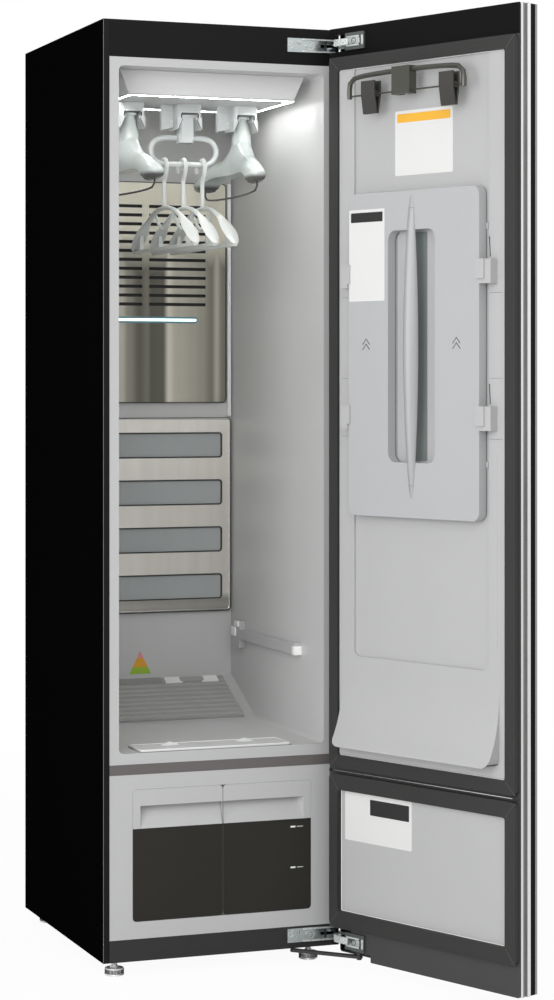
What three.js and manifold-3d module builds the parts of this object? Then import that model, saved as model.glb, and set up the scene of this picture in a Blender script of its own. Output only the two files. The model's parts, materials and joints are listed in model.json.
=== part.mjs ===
// A tall narrow clothes care steam cabinet with its door open: millimetres, +Z up.
// Pieces are drawn with x from the body's left edge, y from its front face and z from the base pan's
// underside. The last group moves the origin to the centre of that underside.
import * as THREE from "three";
import { mergeVertices } from "three/addons/utils/BufferGeometryUtils.js";
import Module from "manifold-3d";

const wasm = await Module();
wasm.setup();

// Driving sizes of the body
const fit = 0.3; // clearance between pieces that touch
const overrun = 5; // how far a cut or a join runs past a face
const clearAway = 3000; // a cut that runs past the whole part
const body = { width: 500, depth: 560, height: 1850, sheet: 1.5, frontFlange: 13, rearReturn: 20, lip: 20 };
const rails = { topHeight: 73, midBottom: 367, midHeight: 20, bottomHeight: 43.5, flangeDepth: 15 };
const foot = { discRadius: 18.7, discHeight: 14, height: 28, stemRadius: 5, collarRadius: 9, coneHeight: 8 };
const footSteps = {
  threadTop: 14, frontInset: 25, rearInset: 25,
  leftInset: 31, hingeInset: 57, rearSide: 45,
};

// The care chamber
const chamber = { rimSide: 19.6, rimTop: 17, rimBottom: 22, wall: 3, backGap: 23, cornerRadius: 9 };
const slope = { startShare: 0.7, rise: 82 };
const lamp = {
  height: 47, wall: 3, topInset: 19.4, lowInset: 40.4,
  depth: 240, backReach: 76, frontSlope: 4,
};
const lightStrip = { height: 3, width: 9 };
const nozzle = { width: 54, depth: 54, height: 33, pitchShare: 0.285, cornerRadius: 9 };
const nozzleSlot = { flangeWidth: 36, flangeHeight: 6.5, throatWidth: 28, throatHeight: 6, backWall: 8 };
const wing = { width: 26, thick: 12, drop: 20, slantShare: 0.25 };
const upperPlate = {
  sideInset: 14.4, lowShare: 0.506, highShare: 0.865,
  depth: 8, sheet: 1.5, cornerRadius: 12,
};
const slotRows = { rows: 12, lowShare: 0.4465, highShare: 0.889, height: 7 };
const slotColumnShares = [[0.121, 0.516], [0.556, 0.88]];
const lowerPlate = {
  sideInset: 3.4, lowShare: 0.165, highShare: 0.482,
  depth: 8, sheet: 1.5, cornerRadius: 10,
};
const windows = {
  count: 4, sideInset: 21, lowShare: 0.064, heightShare: 0.1295,
  pitchShare: 0.243, radius: 7,
};
const filter = { thick: 4, inset: 8 };
const shelf = {
  heightShare: 0.123, height: 22, thick: 13, front: 120,
  backInset: 37, plateHeight: 58, plateLength: 52,
};
const shelfCap = { length: 14, proud: 3 };
const tray = { sideInset: 27, lowInset: 12, highInset: 14, thick: 5, ribs: 9, ribHeight: 2, ribShare: 0.5 };
const trayCatch = { length: 54, width: 12, height: 6, spreadShare: 0.3 };
const hatch = { left: 79, rightInset: 103, front: 5, width: 80, thick: 3.7, cornerRadius: 5 };
const hatchTab = { radius: 26, thick: 6, height: 8, back: 59, sideShare: 0.25 };

// The air hangers, the loop rail and the small hangers
const doorRoom = 39; // free space kept behind the closed door's face parts
const airHanger = { halfLength: 185, reachX: 29, tipWidth: 40, bodyWidth: 52, leftTurn: 10 };
const airHead = { width: 35, depth: 30, height: 5.5, neckWidth: 26, neckDepth: 24 };
const airNeck = { sides: 8 };
const airShape = { tipNarrow: 0.35, tipFlat: 0.6, topNarrow: 0.45, square: 0.75, fallPower: 2.2 };
const airEnds = { peakSpread: 6, tipPower: 10, wireShare: 0.85, archShare: 0.5 };
const airRise = { shoulder: 74, tipTop: 118, legBottom: 144, archTop: 115, archHalf: 135, peak: 52 };
const airWire = { halfSpan: 155, drop: 12, radius: 2.2 };
const loop = { halfSpan: 72, bend: 27, radius: 5.5, lowDrop: 95, connectorWidth: 32, connectorDepth: 36 };
const loopBlock = { height: 52 };
const small = { halfLength: 198, spread: 42, hookRadius: 15.5, wire: 3.5, neckDrop: 31, neckShare: 0.72 };
const smallArm = { drop: 91, fall: 84, width: 9, height: 7, padWidth: 29, padHeight: 5 };
const smallPad = { startShare: 0.45, fullShare: 0.82, tipShare: 0.04, tipPower: 10 };
const hookArc = { start: -0.11, end: 1.09 };
const smallBar = { width: 7, height: 6, strutShare: 0.76 };
const smallLoop = { halfWidth: 60, drop: 41, radius: 2.8 };

// The tanks and their compartment
const bay = { sideInset: 61, low: 77.5, high: 337, rearPlay: 4.7, wall: 3, cornerRadius: 8 };
const tank = { depth: 235, wall: 3, dividerGap: 1, headerHeight: 77 };
const grip = { highShare: 0.58, depth: 21, outerInset: 16, slant: 9 };

// Machine space
const machine = { gapFromBay: 12 };
const vent = { rows: 6, halfLength: 70, height: 5, pitch: 14, low: 90 };
const compressor = { radius: 56, height: 165, dome: 30, xShare: 0.74, yShare: 0.78, foot: 8, footGrow: 14 };
const compressorDome = { wideShare: 0.8, wideRise: 0.6, narrowShare: 0.35 };
const boiler = {
  width: 120, depth: 90, height: 130, xShare: 0.2,
  yShare: 0.78, radius: 14, pipe: 8, pipeRise: 26,
};
const fan = { radius: 58, width: 52, xShare: 0.47, yShare: 0.82, outlet: 44, hub: 26, stand: 12 };
const coil = { width: 330, depth: 36, height: 190, fins: 11, finGap: 12, grooveDepth: 7 };

// The door, drawn closed
const door = { gap: 12, low: -8, topDrop: 4, frameDepth: 29, outerDepth: 19, split: 1, wall: 3, radius: 6 };
const doorStep = { length: 114, height: 14 };
const opening = { angle: 112.3, pivotX: 10, pivotY: 34 };
const pocket = { length: 60, height: 40, topInset: 10 };
const gasket = {
  thick: 11.7, width: 26, lowInset: 2, hingeInset: 10,
  overlapTop: 9, overlapLow: 2, radius: 10,
};
const lowGasket = { low: 53, high: 357, width: 31 };
const linerPanel = {
  sheet: 2.7, raised: 8, recessLeft: 70, recessInset: 77,
  recessLowShare: 0.147, radius: 14,
};
const apron = {
  lowShare: 0.0159, highShare: 0.121, reach: 42, wall: 4,
  sideInset: 44, lip: 5, corner: 18, bendShare: 0.4,
};
const edgeChannel = { depth: 14, start: 8.3, wall: 2, groove: 4, strip: 12 };

// The press plate on the door
const press = {
  left: 78, hingeInset: 80, lowShare: 0.3525, highShare: 0.8156,
  back: 6, front: 27, wall: 3, radius: 16,
};
const pressSlot = { leftInset: 112, rightInset: 107, lowShare: 0.169, highShare: 0.88, radius: 18 };
const bow = {
  centreShare: 0.506, lowShare: 0.06, highShare: 0.985, halfWidth: 18,
  halfDepth: 6, rise: 6, tipShare: 0.35, fullness: 0.35, flatness: 0.7,
};
const latch = {
  outer: 29, hinge: 18, height: 46, flap: 4, hold: 6,
  lowShare: 0.27, highShare: 0.708, chamfer: 9,
};

// The trouser hanger on the door
const trouser = {
  left: 104, hingeInset: 96, barDrop: 25, wireDrop: 60,
  reach: 40, barRadius: 5, wireRadius: 1.8,
};
const trouserBlock = {
  leftShare: 0.4367, width: 47, above: 12, below: 7,
  depth: 20, hookWidth: 23, hookThick: 9,
};
const trouserHook = { neck: 11, lowGap: 7, highGap: 9 };
const clip = {
  width: 36, drop: 38, rise: 26, thick: 3.5, spread: 13,
  leftShare: 0.2824, rightShare: 0.5246, bore: 2.4,
};

// The hinges and the stay
const hingePlate = {
  rightInset: 113, length: 72, thick: 3, height: 28,
  lowRise: 12, screw: 5, screwRise: 1.6,
};
const hingeArm = { thick: 6, inner: 6, outer: 3, eye: 6 };
const hingePin = { radius: 3.5, play: 0.4, head: 1.2 };
const doorArm = {
  thick: 5, gap: 1, halfWidth: 5, houseStart: 43,
  houseEnd: 90, houseProud: 5, houseBack: 22,
};
const doorHouse = { height: 34 };
const screwShares = [[0.2, 0.3], [0.2, 0.72], [0.6, 0.5]];
const stay = {
  pivotX: 67, pivotN: 6, length: 148, halfWidth: 7, thick: 5.5,
  drop: 0.5, turn: 23, holes: 6, hole: 3,
};
const stayPin = { radius: 3, play: 0.3, boss: 5, head: 2.5 };

// Finishes
const finish = (color, roughness, metalness) =>
  new THREE.MeshStandardMaterial({ color, roughness, metalness });
const blackSheet = finish(0x141414, 0.45, 0.3);
const greySheet = finish(0x565450, 0.5, 0.3);
const midGrey = finish(0x6a6565, 0.5, 0.2);
const paleMoulding = finish(0xbfbfc2, 0.55, 0);
const champagneSteel = finish(0xb9b2a3, 0.35, 0.8);
const zincSteel = finish(0xb4bcc0, 0.35, 0.8);
const darkRubber = finish(0x3f3e3c, 0.8, 0);
const smokedPlastic = finish(0x2c2a28, 0.25, 0);
const mintGloss = finish(0xd4dcda, 0.2, 0);
const plateBlue = finish(0xb8bdc2, 0.4, 0);
const nickelGrey = finish(0x5a5a54, 0.45, 0.4);
const glowWhite = finish(0xffffff, 0.4, 0);
const machineGrey = finish(0x77797c, 0.6, 0.3);

// Geometry helpers
const at = (x, y, z) => new THREE.Vector3(x, y, z);
const mix = (a, b, share) => a + (b - a) * share;
const radians = THREE.MathUtils.degToRad;
const weldTolerance = 1e-4;

// A closed three.js geometry as a solid
function solid(geometry) {
  const bare = geometry.clone();
  bare.deleteAttribute("normal");
  bare.deleteAttribute("uv");
  const merged = mergeVertices(bare, weldTolerance);
  const vertProperties = merged.attributes.position.array;
  const triVerts = new Uint32Array(merged.index.array);
  return new wasm.Manifold(new wasm.Mesh({ numProp: 3, vertProperties, triVerts }));
}

// A box between two corners
function block(x0, x1, y0, y1, z0, z1) {
  const box = new THREE.BoxGeometry(x1 - x0, y1 - y0, z1 - z0);
  box.translate((x0 + x1) / 2, (y0 + y1) / 2, (z0 + z1) / 2);
  return solid(box);
}

// An outline pushed along an axis. For "x" it lies in y and z, for "y" in x and z, for "z" in x and y
function prism(outline, axis, from, to, curveSegments = 2) {
  const settings = { depth: to - from, bevelEnabled: false, curveSegments };
  const extruded = new THREE.ExtrudeGeometry(outline, settings);
  if (axis === "z") extruded.translate(0, 0, from);
  if (axis === "y") {
    extruded.rotateX(Math.PI / 2);
    extruded.translate(0, to, 0);
  }
  if (axis === "x") {
    extruded.applyMatrix4(new THREE.Matrix4().makeBasis(at(0, 1, 0), at(0, 0, 1), at(1, 0, 0)));
    extruded.translate(from, 0, 0);
  }
  return solid(extruded);
}

// A rectangle with rounded corners
function rounded(a0, a1, b0, b1, radius) {
  const r = Math.min(radius, (a1 - a0) / 2, (b1 - b0) / 2);
  const shape = new THREE.Shape();
  shape.moveTo(a0 + r, b0);
  shape.lineTo(a1 - r, b0);
  shape.absarc(a1 - r, b0 + r, r, -Math.PI / 2, 0, false);
  shape.lineTo(a1, b1 - r);
  shape.absarc(a1 - r, b1 - r, r, 0, Math.PI / 2, false);
  shape.lineTo(a0 + r, b1);
  shape.absarc(a0 + r, b1 - r, r, Math.PI / 2, Math.PI, false);
  shape.lineTo(a0, b0 + r);
  shape.absarc(a0 + r, b0 + r, r, Math.PI, Math.PI * 1.5, false);
  return shape;
}

function polygon(points) {
  return new THREE.Shape(points.map(([a, b]) => new THREE.Vector2(a, b)));
}

function disc(a, b, radius) {
  const shape = new THREE.Shape();
  shape.absarc(a, b, radius, 0, Math.PI * 2, false);
  return shape;
}

// A round bar along an axis, with twice as many sides as segments
const rod = (axis, a, b, radius, from, to, segments = 6) =>
  prism(disc(a, b, radius), axis, from, to, segments);

// A body of revolution about a vertical axis, from radius and height pairs
function turned(x, y, profile, segments = 16) {
  const lathe = new THREE.LatheGeometry(profile.map(([r, z]) => new THREE.Vector2(r, z)), segments);
  lathe.rotateX(Math.PI / 2);
  lathe.translate(x, y, 0);
  return solid(lathe);
}

// A tube along a smooth path through points
function tube(points, radius, steps, sides = 8) {
  const extrudePath = new THREE.CatmullRomCurve3(points, false, "centripetal");
  const section = new THREE.Shape();
  section.absarc(0, 0, radius, 0, Math.PI * 2, false);
  const curveSegments = sides / 2;
  const settings = { steps, extrudePath, bevelEnabled: false, curveSegments };
  return solid(new THREE.ExtrudeGeometry(section, settings));
}

// A closed skin through rings that hold the same number of points, turned to face out
function loft(rings) {
  const count = rings[0].length;
  const position = rings.flat().flatMap((p) => [p.x, p.y, p.z]);
  const index = [];
  for (let ring = 0; ring + 1 < rings.length; ring += 1) {
    for (let k = 0; k < count; k += 1) {
      const next = (k + 1) % count;
      const [a, b] = [ring * count + k, ring * count + next];
      index.push(a, b, b + count, a, b + count, a + count);
    }
  }
  const last = (rings.length - 1) * count;
  for (let k = 1; k + 1 < count; k += 1) {
    index.push(0, k + 1, k, last, last + k, last + k + 1);
  }
  const skin = new THREE.BufferGeometry();
  skin.setAttribute("position", new THREE.Float32BufferAttribute(position, 3));
  skin.setIndex(index);
  const made = solid(skin);
  if (made.volume() > 0) return made;
  for (let k = 0; k < index.length; k += 3) [index[k + 1], index[k + 2]] = [index[k + 2], index[k + 1]];
  skin.setIndex(index);
  return solid(skin);
}

const rectangle = ([x0, x1, y0, y1], z) => [at(x0, y0, z), at(x1, y0, z), at(x1, y1, z), at(x0, y1, z)];

const group = new THREE.Group();
group.position.set(-body.width / 2, -body.depth / 2, 0);

// Door pieces are drawn closed, and this pair of groups turns them open about the hinge axis
const hingeX = body.width - opening.pivotX;
const hingeY = -opening.pivotY;
const openDoor = new THREE.Group();
openDoor.position.set(hingeX, hingeY, 0);
openDoor.rotation.z = radians(opening.angle);
const closedDoor = new THREE.Group();
closedDoor.position.set(-hingeX, -hingeY, 0);
openDoor.add(closedDoor);
group.add(openDoor);

function piece(name, volume, material, parent = group) {
  const { vertProperties, triVerts } = volume.getMesh();
  const geometry = new THREE.BufferGeometry();
  geometry.setAttribute("position", new THREE.BufferAttribute(vertProperties.slice(), 3));
  geometry.setIndex(new THREE.BufferAttribute(triVerts.slice(), 1));
  geometry.computeVertexNormals();
  const mesh = new THREE.Mesh(geometry, material);
  mesh.name = name;
  parent.add(mesh);
  return mesh;
}

// Folded sheet body
const railLeft = body.frontFlange + fit;
const railRight = body.width - body.frontFlange - fit;
const backPanelY = body.depth - body.sheet;
const returnY = backPanelY - fit - body.sheet;

function sidePanel(name, mirror) {
  const flip = (x) => (mirror ? body.width - x : x);
  const outline = polygon(
    [
      [0, 0],
      [body.frontFlange, 0],
      [body.frontFlange, body.sheet],
      [body.sheet, body.sheet],
      [body.sheet, returnY],
      [body.rearReturn, returnY],
      [body.rearReturn, returnY + body.sheet],
      [0, returnY + body.sheet],
    ].map(([x, y]) => [flip(x), y]),
  );
  piece(name, prism(outline, "z", 0, body.height), blackSheet);
}
sidePanel("side_panel_left", false);
sidePanel("side_panel_right", true);

const innerLeft = body.sheet + fit;
const innerRight = body.width - innerLeft;
const deckFront = body.sheet + fit;
const deckBack = returnY - fit;

function foldedDeck(low, high, hollowLow, hollowHigh) {
  const outer = block(innerLeft, innerRight, deckFront, deckBack, low, high);
  const hollow = block(
    innerLeft + body.sheet,
    innerRight - body.sheet,
    deckFront + body.sheet,
    deckBack - body.sheet,
    hollowLow,
    hollowHigh,
  );
  return outer.subtract(hollow);
}
const lipLow = body.height - body.lip;
piece("top_panel", foldedDeck(lipLow, body.height, lipLow - overrun, body.height - body.sheet), blackSheet);

const footPlaces = {
  foot_front_left: [footSteps.leftInset, footSteps.frontInset],
  foot_front_right: [body.width - footSteps.hingeInset, footSteps.frontInset],
  foot_rear_left: [footSteps.rearSide, body.depth - footSteps.rearInset],
  foot_rear_right: [body.width - footSteps.rearSide, body.depth - footSteps.rearInset],
};
let pan = foldedDeck(0, body.lip, body.sheet, body.lip + overrun);
for (const [x, y] of Object.values(footPlaces)) {
  pan = pan.subtract(rod("z", x, y, foot.stemRadius + fit, -overrun, body.sheet + overrun));
}
piece("base_pan", pan, greySheet);

for (const [name, [x, y]] of Object.entries(footPlaces)) {
  const low = -foot.height;
  const discTop = low + foot.discHeight;
  const profile = [
    [0, low],
    [foot.discRadius, low],
    [foot.discRadius, discTop],
    [foot.collarRadius, discTop + fit * 2],
    [foot.stemRadius, discTop + foot.coneHeight],
    [foot.stemRadius, footSteps.threadTop],
    [0, footSteps.threadTop],
  ];
  piece(name, turned(x, y, profile), zincSteel);
}

let backSheet = block(0, body.width, backPanelY, body.depth, 0, body.height);
for (let row = 0; row < vent.rows; row += 1) {
  const low = vent.low + row * vent.pitch;
  const middle = body.width / 2;
  backSheet = backSheet.subtract(
    block(
      middle - vent.halfLength,
      middle + vent.halfLength,
      backPanelY - overrun,
      body.depth + overrun,
      low,
      low + vent.height,
    ),
  );
}
piece("back_panel", backSheet, greySheet);

// Front rails
function rail(low, high, lowFlange, highFlange) {
  const rear = rails.flangeDepth;
  let volume = block(railLeft, railRight, 0, body.sheet, low, high);
  if (lowFlange) volume = volume.add(block(railLeft, railRight, 0, rear, low, low + body.sheet));
  if (highFlange) volume = volume.add(block(railLeft, railRight, 0, rear, high - body.sheet, high));
  return volume;
}
const midTop = rails.midBottom + rails.midHeight;
const topRailLow = body.height - rails.topHeight;
piece("top_rail", rail(topRailLow, body.height, true, false), greySheet);
piece("mid_rail", rail(rails.midBottom, midTop, true, true), midGrey);
piece("bottom_rail", rail(0, rails.bottomHeight, false, true), blackSheet);

// The chamber: a thin shell with a front rim, a flat floor and a slope at the back
const roomLeft = body.frontFlange + chamber.rimSide;
const roomRight = body.width - roomLeft;
const roomWidth = roomRight - roomLeft;
const roomLow = midTop + chamber.rimBottom;
const roomHigh = topRailLow - chamber.rimTop;
const roomBack = body.depth - chamber.backGap;
const roomZ = (share) => mix(roomLow, roomHigh, share);
const slopeStart = roomBack * slope.startShare;
const slopeTop = roomLow + slope.rise;

function shellBody(grow, front, back) {
  const outline = rounded(
    roomLeft - grow,
    roomRight + grow,
    roomLow - grow,
    roomHigh + grow,
    chamber.cornerRadius + grow,
  );
  const wedge = polygon([
    [slopeStart, roomLow - grow - overrun],
    [slopeStart, roomLow - grow],
    [roomBack + grow, slopeTop - grow],
    [back + overrun, slopeTop - grow],
    [back + overrun, roomLow - grow - overrun],
  ]);
  const all = prism(outline, "y", front, back);
  return all.subtract(prism(wedge, "x", roomLeft - grow - overrun, roomRight + grow + overrun));
}
const rim = block(railLeft, railRight, 0, chamber.wall, midTop + fit, topRailLow - fit);
const liner = shellBody(chamber.wall, 0, roomBack + chamber.wall)
  .add(rim)
  .subtract(shellBody(0, -overrun, roomBack));
piece("cavity_liner", liner, paleMoulding);

// Steel covers on the chamber's back wall, each a shallow pan with its lip to the wall
function wallPan(left, right, low, high, values) {
  const front = roomBack - fit - values.depth;
  const back = roomBack - fit;
  const r = values.cornerRadius;
  const s = values.sheet;
  const outer = prism(rounded(left, right, low, high, r), "y", front, back);
  const inside = rounded(left + s, right - s, low + s, high - s, r - s);
  const hollow = prism(inside, "y", front + s, back + overrun);
  return outer.subtract(hollow);
}
const upperLeft = roomLeft + upperPlate.sideInset;
const upperRight = roomRight - upperPlate.sideInset;
const upperLow = roomZ(upperPlate.lowShare);
const upperHigh = roomZ(upperPlate.highShare);
const platePast = roomBack - upperPlate.depth - overrun;
let upper = wallPan(upperLeft, upperRight, upperLow, upperHigh, upperPlate);
for (let row = 0; row < slotRows.rows; row += 1) {
  const share = mix(slotRows.lowShare, slotRows.highShare, row / (slotRows.rows - 1));
  const middle = mix(upperLow, upperHigh, share);
  for (const [from, to] of slotColumnShares) {
    const left = mix(upperLeft, upperRight, from);
    const right = mix(upperLeft, upperRight, to);
    const low = middle - slotRows.height / 2;
    upper = upper.subtract(block(left, right, platePast, roomBack + overrun, low, low + slotRows.height));
  }
}
piece("upper_back_plate", upper, champagneSteel);

const lowerLeft = roomLeft + lowerPlate.sideInset;
const lowerRight = roomRight - lowerPlate.sideInset;
const lowerLow = roomZ(lowerPlate.lowShare);
const lowerHigh = roomZ(lowerPlate.highShare);
let lower = wallPan(lowerLeft, lowerRight, lowerLow, lowerHigh, lowerPlate);
for (let row = 0; row < windows.count; row += 1) {
  const low = mix(lowerLow, lowerHigh, windows.lowShare + row * windows.pitchShare);
  const high = low + (lowerHigh - lowerLow) * windows.heightShare;
  const [left, right] = [lowerLeft + windows.sideInset, lowerRight - windows.sideInset];
  const outline = rounded(left, right, low, high, windows.radius);
  lower = lower.subtract(prism(outline, "y", roomBack - lowerPlate.depth - overrun, roomBack + overrun));
}
piece("lower_grille_plate", lower, champagneSteel);
piece(
  "air_filter",
  block(
    lowerLeft + filter.inset,
    lowerRight - filter.inset,
    roomBack - fit - filter.thick,
    roomBack - fit,
    lowerLow + filter.inset,
    lowerHigh - filter.inset,
  ),
  machineGrey,
);

// Shelf ledges on the side walls
function shelfRail(name, mirror) {
  const flip = (a, b) => (mirror ? [body.width - b, body.width - a] : [a, b]);
  const wallX = roomLeft + fit;
  const low = roomZ(shelf.heightShare);
  const back = roomBack - shelf.backInset;
  const barHigh = low + shelf.height;
  const plateLow = low - (shelf.plateHeight - shelf.height) / 2;
  const [b0, b1] = flip(wallX, wallX + shelf.thick);
  const [c0, c1] = flip(wallX, wallX + shelf.thick + shelfCap.proud);
  const volume = block(b0, b1, shelf.front, back, low, barHigh)
    .add(block(b0, b1, back - shelf.plateLength, back, plateLow, plateLow + shelf.plateHeight))
    .add(block(c0, c1, shelf.front, shelf.front + shelfCap.length, low - fit, barHigh + shelfCap.proud));
  piece(name, volume, paleMoulding);
}
shelfRail("shelf_rail_left", false);
shelfRail("shelf_rail_right", true);

// The ribbed tray on the slope: s runs up the slope and h stands off it
const slopeRun = roomBack - slopeStart;
const slopeLength = Math.hypot(slopeRun, slope.rise);
const [upY, upZ] = [slopeRun / slopeLength, slope.rise / slopeLength];
const onSlope = (s, h) => [slopeStart + s * upY - h * upZ, roomLow + s * upZ + h * upY];
const trayLow = tray.lowInset;
const trayHigh = slopeLength - tray.highInset;
const trayTop = fit + tray.thick;
const ribPitch = (trayHigh - trayLow) / (tray.ribs * 2 + 1);
const trayOutline = [onSlope(trayLow, fit), onSlope(trayHigh, fit), onSlope(trayHigh, trayTop)];
for (let rib = tray.ribs; rib > 0; rib -= 1) {
  const high = trayLow + rib * 2 * ribPitch;
  const low = high - ribPitch;
  const inset = (ribPitch * tray.ribShare) / 2;
  trayOutline.push(onSlope(high, trayTop), onSlope(high - inset, trayTop + tray.ribHeight));
  trayOutline.push(onSlope(low + inset, trayTop + tray.ribHeight), onSlope(low, trayTop));
}
trayOutline.push(onSlope(trayLow, trayTop));
const trayLeft = roomLeft + tray.sideInset;
const trayRight = roomRight - tray.sideInset;
let trayBody = prism(polygon(trayOutline), "x", trayLeft, trayRight);
for (const side of [-1, 1]) {
  const middle = (trayLeft + trayRight) / 2 + side * (trayRight - trayLeft) * trayCatch.spreadShare;
  const top = trayHigh - ribPitch;
  const outline = polygon([
    onSlope(top - trayCatch.width, tray.thick / 2),
    onSlope(top, tray.thick / 2),
    onSlope(top, trayTop + trayCatch.height),
    onSlope(top - trayCatch.width, trayTop + trayCatch.height / 2),
  ]);
  trayBody = trayBody.add(prism(outline, "x", middle - trayCatch.length / 2, middle + trayCatch.length / 2));
}
piece("ribbed_tray", trayBody, paleMoulding);

// The floor hatch with its two finger tabs
const hatchLow = roomLow + fit;
const hatchHigh = hatchLow + hatch.thick;
const hatchRight = body.width - hatch.rightInset;
const hatchBack = hatch.front + hatch.width;
let hatchBody = prism(
  rounded(hatch.left, hatchRight, hatch.front, hatchBack, hatch.cornerRadius),
  "z",
  hatchLow,
  hatchHigh,
);
for (const share of [hatchTab.sideShare, 1 - hatchTab.sideShare]) {
  const middle = mix(hatch.left, hatchRight, share);
  const dome = new THREE.Shape();
  const domeLow = hatchHigh - hatch.thick / 2;
  dome.moveTo(middle - hatchTab.radius, domeLow);
  dome.quadraticCurveTo(middle, hatchHigh + hatchTab.height * 2, middle + hatchTab.radius, domeLow);
  const tabFront = hatch.front + hatchTab.back - hatchTab.thick;
  hatchBody = hatchBody.add(prism(dome, "y", tabFront, tabFront + hatchTab.thick));
}
piece("floor_hatch", hatchBody, paleMoulding);

// Lamp housing under the ceiling, its light strip and the three nozzles
const hangY = doorRoom + airHanger.halfLength;
const lampBack = hangY + lamp.backReach;
const lampFront = lampBack - lamp.depth;
const lampTop = roomHigh - fit;
const lampLow = roomHigh - lamp.height;
const lampFace = (grow, z) => {
  const share = (z - lampLow) / (lampTop - lampLow);
  const inset = mix(lamp.lowInset, lamp.topInset, share) - grow;
  const front = lampFront - lamp.frontSlope * share - grow;
  return rectangle([roomLeft + inset, roomRight - inset, front, lampBack + grow], z);
};
const lampInnerLow = lampLow + lamp.wall;
const lampOuter = loft([lampFace(0, lampLow), lampFace(0, lampTop)]);
const lampInner = loft([lampFace(-lamp.wall, lampInnerLow), lampFace(-lamp.wall, lampTop + overrun)]);
piece("lamp_housing", lampOuter.subtract(lampInner), paleMoulding);

const stripLeft = roomLeft + lamp.lowInset;
const stripRight = roomRight - lamp.lowInset;
const stripTop = lampLow - fit;
const stripLow = stripTop - lightStrip.height;
const stripOuter = block(stripLeft, stripRight, lampFront, lampBack, stripLow, stripTop);
const stripInner = block(
  stripLeft + lightStrip.width,
  stripRight - lightStrip.width,
  lampFront + lightStrip.width,
  lampBack - lightStrip.width,
  stripLow - overrun,
  stripTop + overrun,
);
piece("light_frame", stripOuter.subtract(stripInner), glowWhite);

const nozzlePitch = roomWidth * nozzle.pitchShare;
const nozzleHigh = lampLow - fit;
const nozzleLow = nozzleHigh - nozzle.height;
const slotTop = nozzleLow + nozzleSlot.throatHeight + nozzleSlot.flangeHeight;
const nozzleX = (step) => body.width / 2 + step * nozzlePitch;

function airNozzle(name, step, withWing) {
  const x = nozzleX(step);
  const front = hangY - nozzle.depth / 2;
  const back = hangY + nozzle.depth / 2;
  const slotBack = back - nozzleSlot.backWall;
  const throat = nozzleLow + nozzleSlot.throatHeight;
  const [halfFlange, halfThroat] = [nozzleSlot.flangeWidth / 2, nozzleSlot.throatWidth / 2];
  const outline = rounded(x - nozzle.width / 2, x + nozzle.width / 2, front, back, nozzle.cornerRadius);
  let volume = prism(outline, "z", nozzleLow, nozzleHigh);
  if (withWing) {
    const right = x - nozzle.width / 2 + nozzle.cornerRadius;
    const left = right - wing.width - nozzle.cornerRadius;
    const low = nozzleLow - wing.drop;
    const shape = polygon([
      [left, low],
      [right - nozzle.cornerRadius, low + wing.width * wing.slantShare],
      [right - nozzle.cornerRadius, nozzleLow],
      [right, nozzleLow],
      [right, nozzleHigh],
      [left, nozzleHigh],
    ]);
    volume = volume.add(prism(shape, "y", hangY, hangY + wing.thick));
  }
  volume = volume
    .subtract(block(x - halfThroat, x + halfThroat, front - overrun, slotBack, nozzleLow - overrun, throat))
    .subtract(block(x - halfFlange, x + halfFlange, front - overrun, slotBack, throat - fit, slotTop));
  piece(name, volume, paleMoulding);
}
airNozzle("air_nozzle_left", -1, false);
airNozzle("air_nozzle_middle", 0, true);
airNozzle("air_nozzle_right", 1, true);

// The head that slides into a nozzle's slot from the front
const headLow = nozzleLow + nozzleSlot.throatHeight + fit;
const headHigh = headLow + airHead.height;
function slidingHead(x, neckLow) {
  const halfWidth = airHead.width / 2;
  const neckHalf = airHead.neckWidth / 2;
  const [headHalf, neckDeep] = [airHead.depth / 2, airHead.neckDepth / 2];
  return block(x - halfWidth, x + halfWidth, hangY - headHalf, hangY + headHalf, headLow, headHigh).add(
    block(x - neckHalf, x + neckHalf, hangY - neckDeep, hangY + neckDeep, neckLow, headLow + fit),
  );
}

// The air hangers' round head lets them turn in the slot
function turningHead(x, neckLow) {
  return rod("z", x, hangY, airHead.width / 2, headLow, headHigh, airNeck.sides).add(
    rod("z", x, hangY, airHead.neckWidth / 2, neckLow, headLow + fit, airNeck.sides),
  );
}

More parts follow.
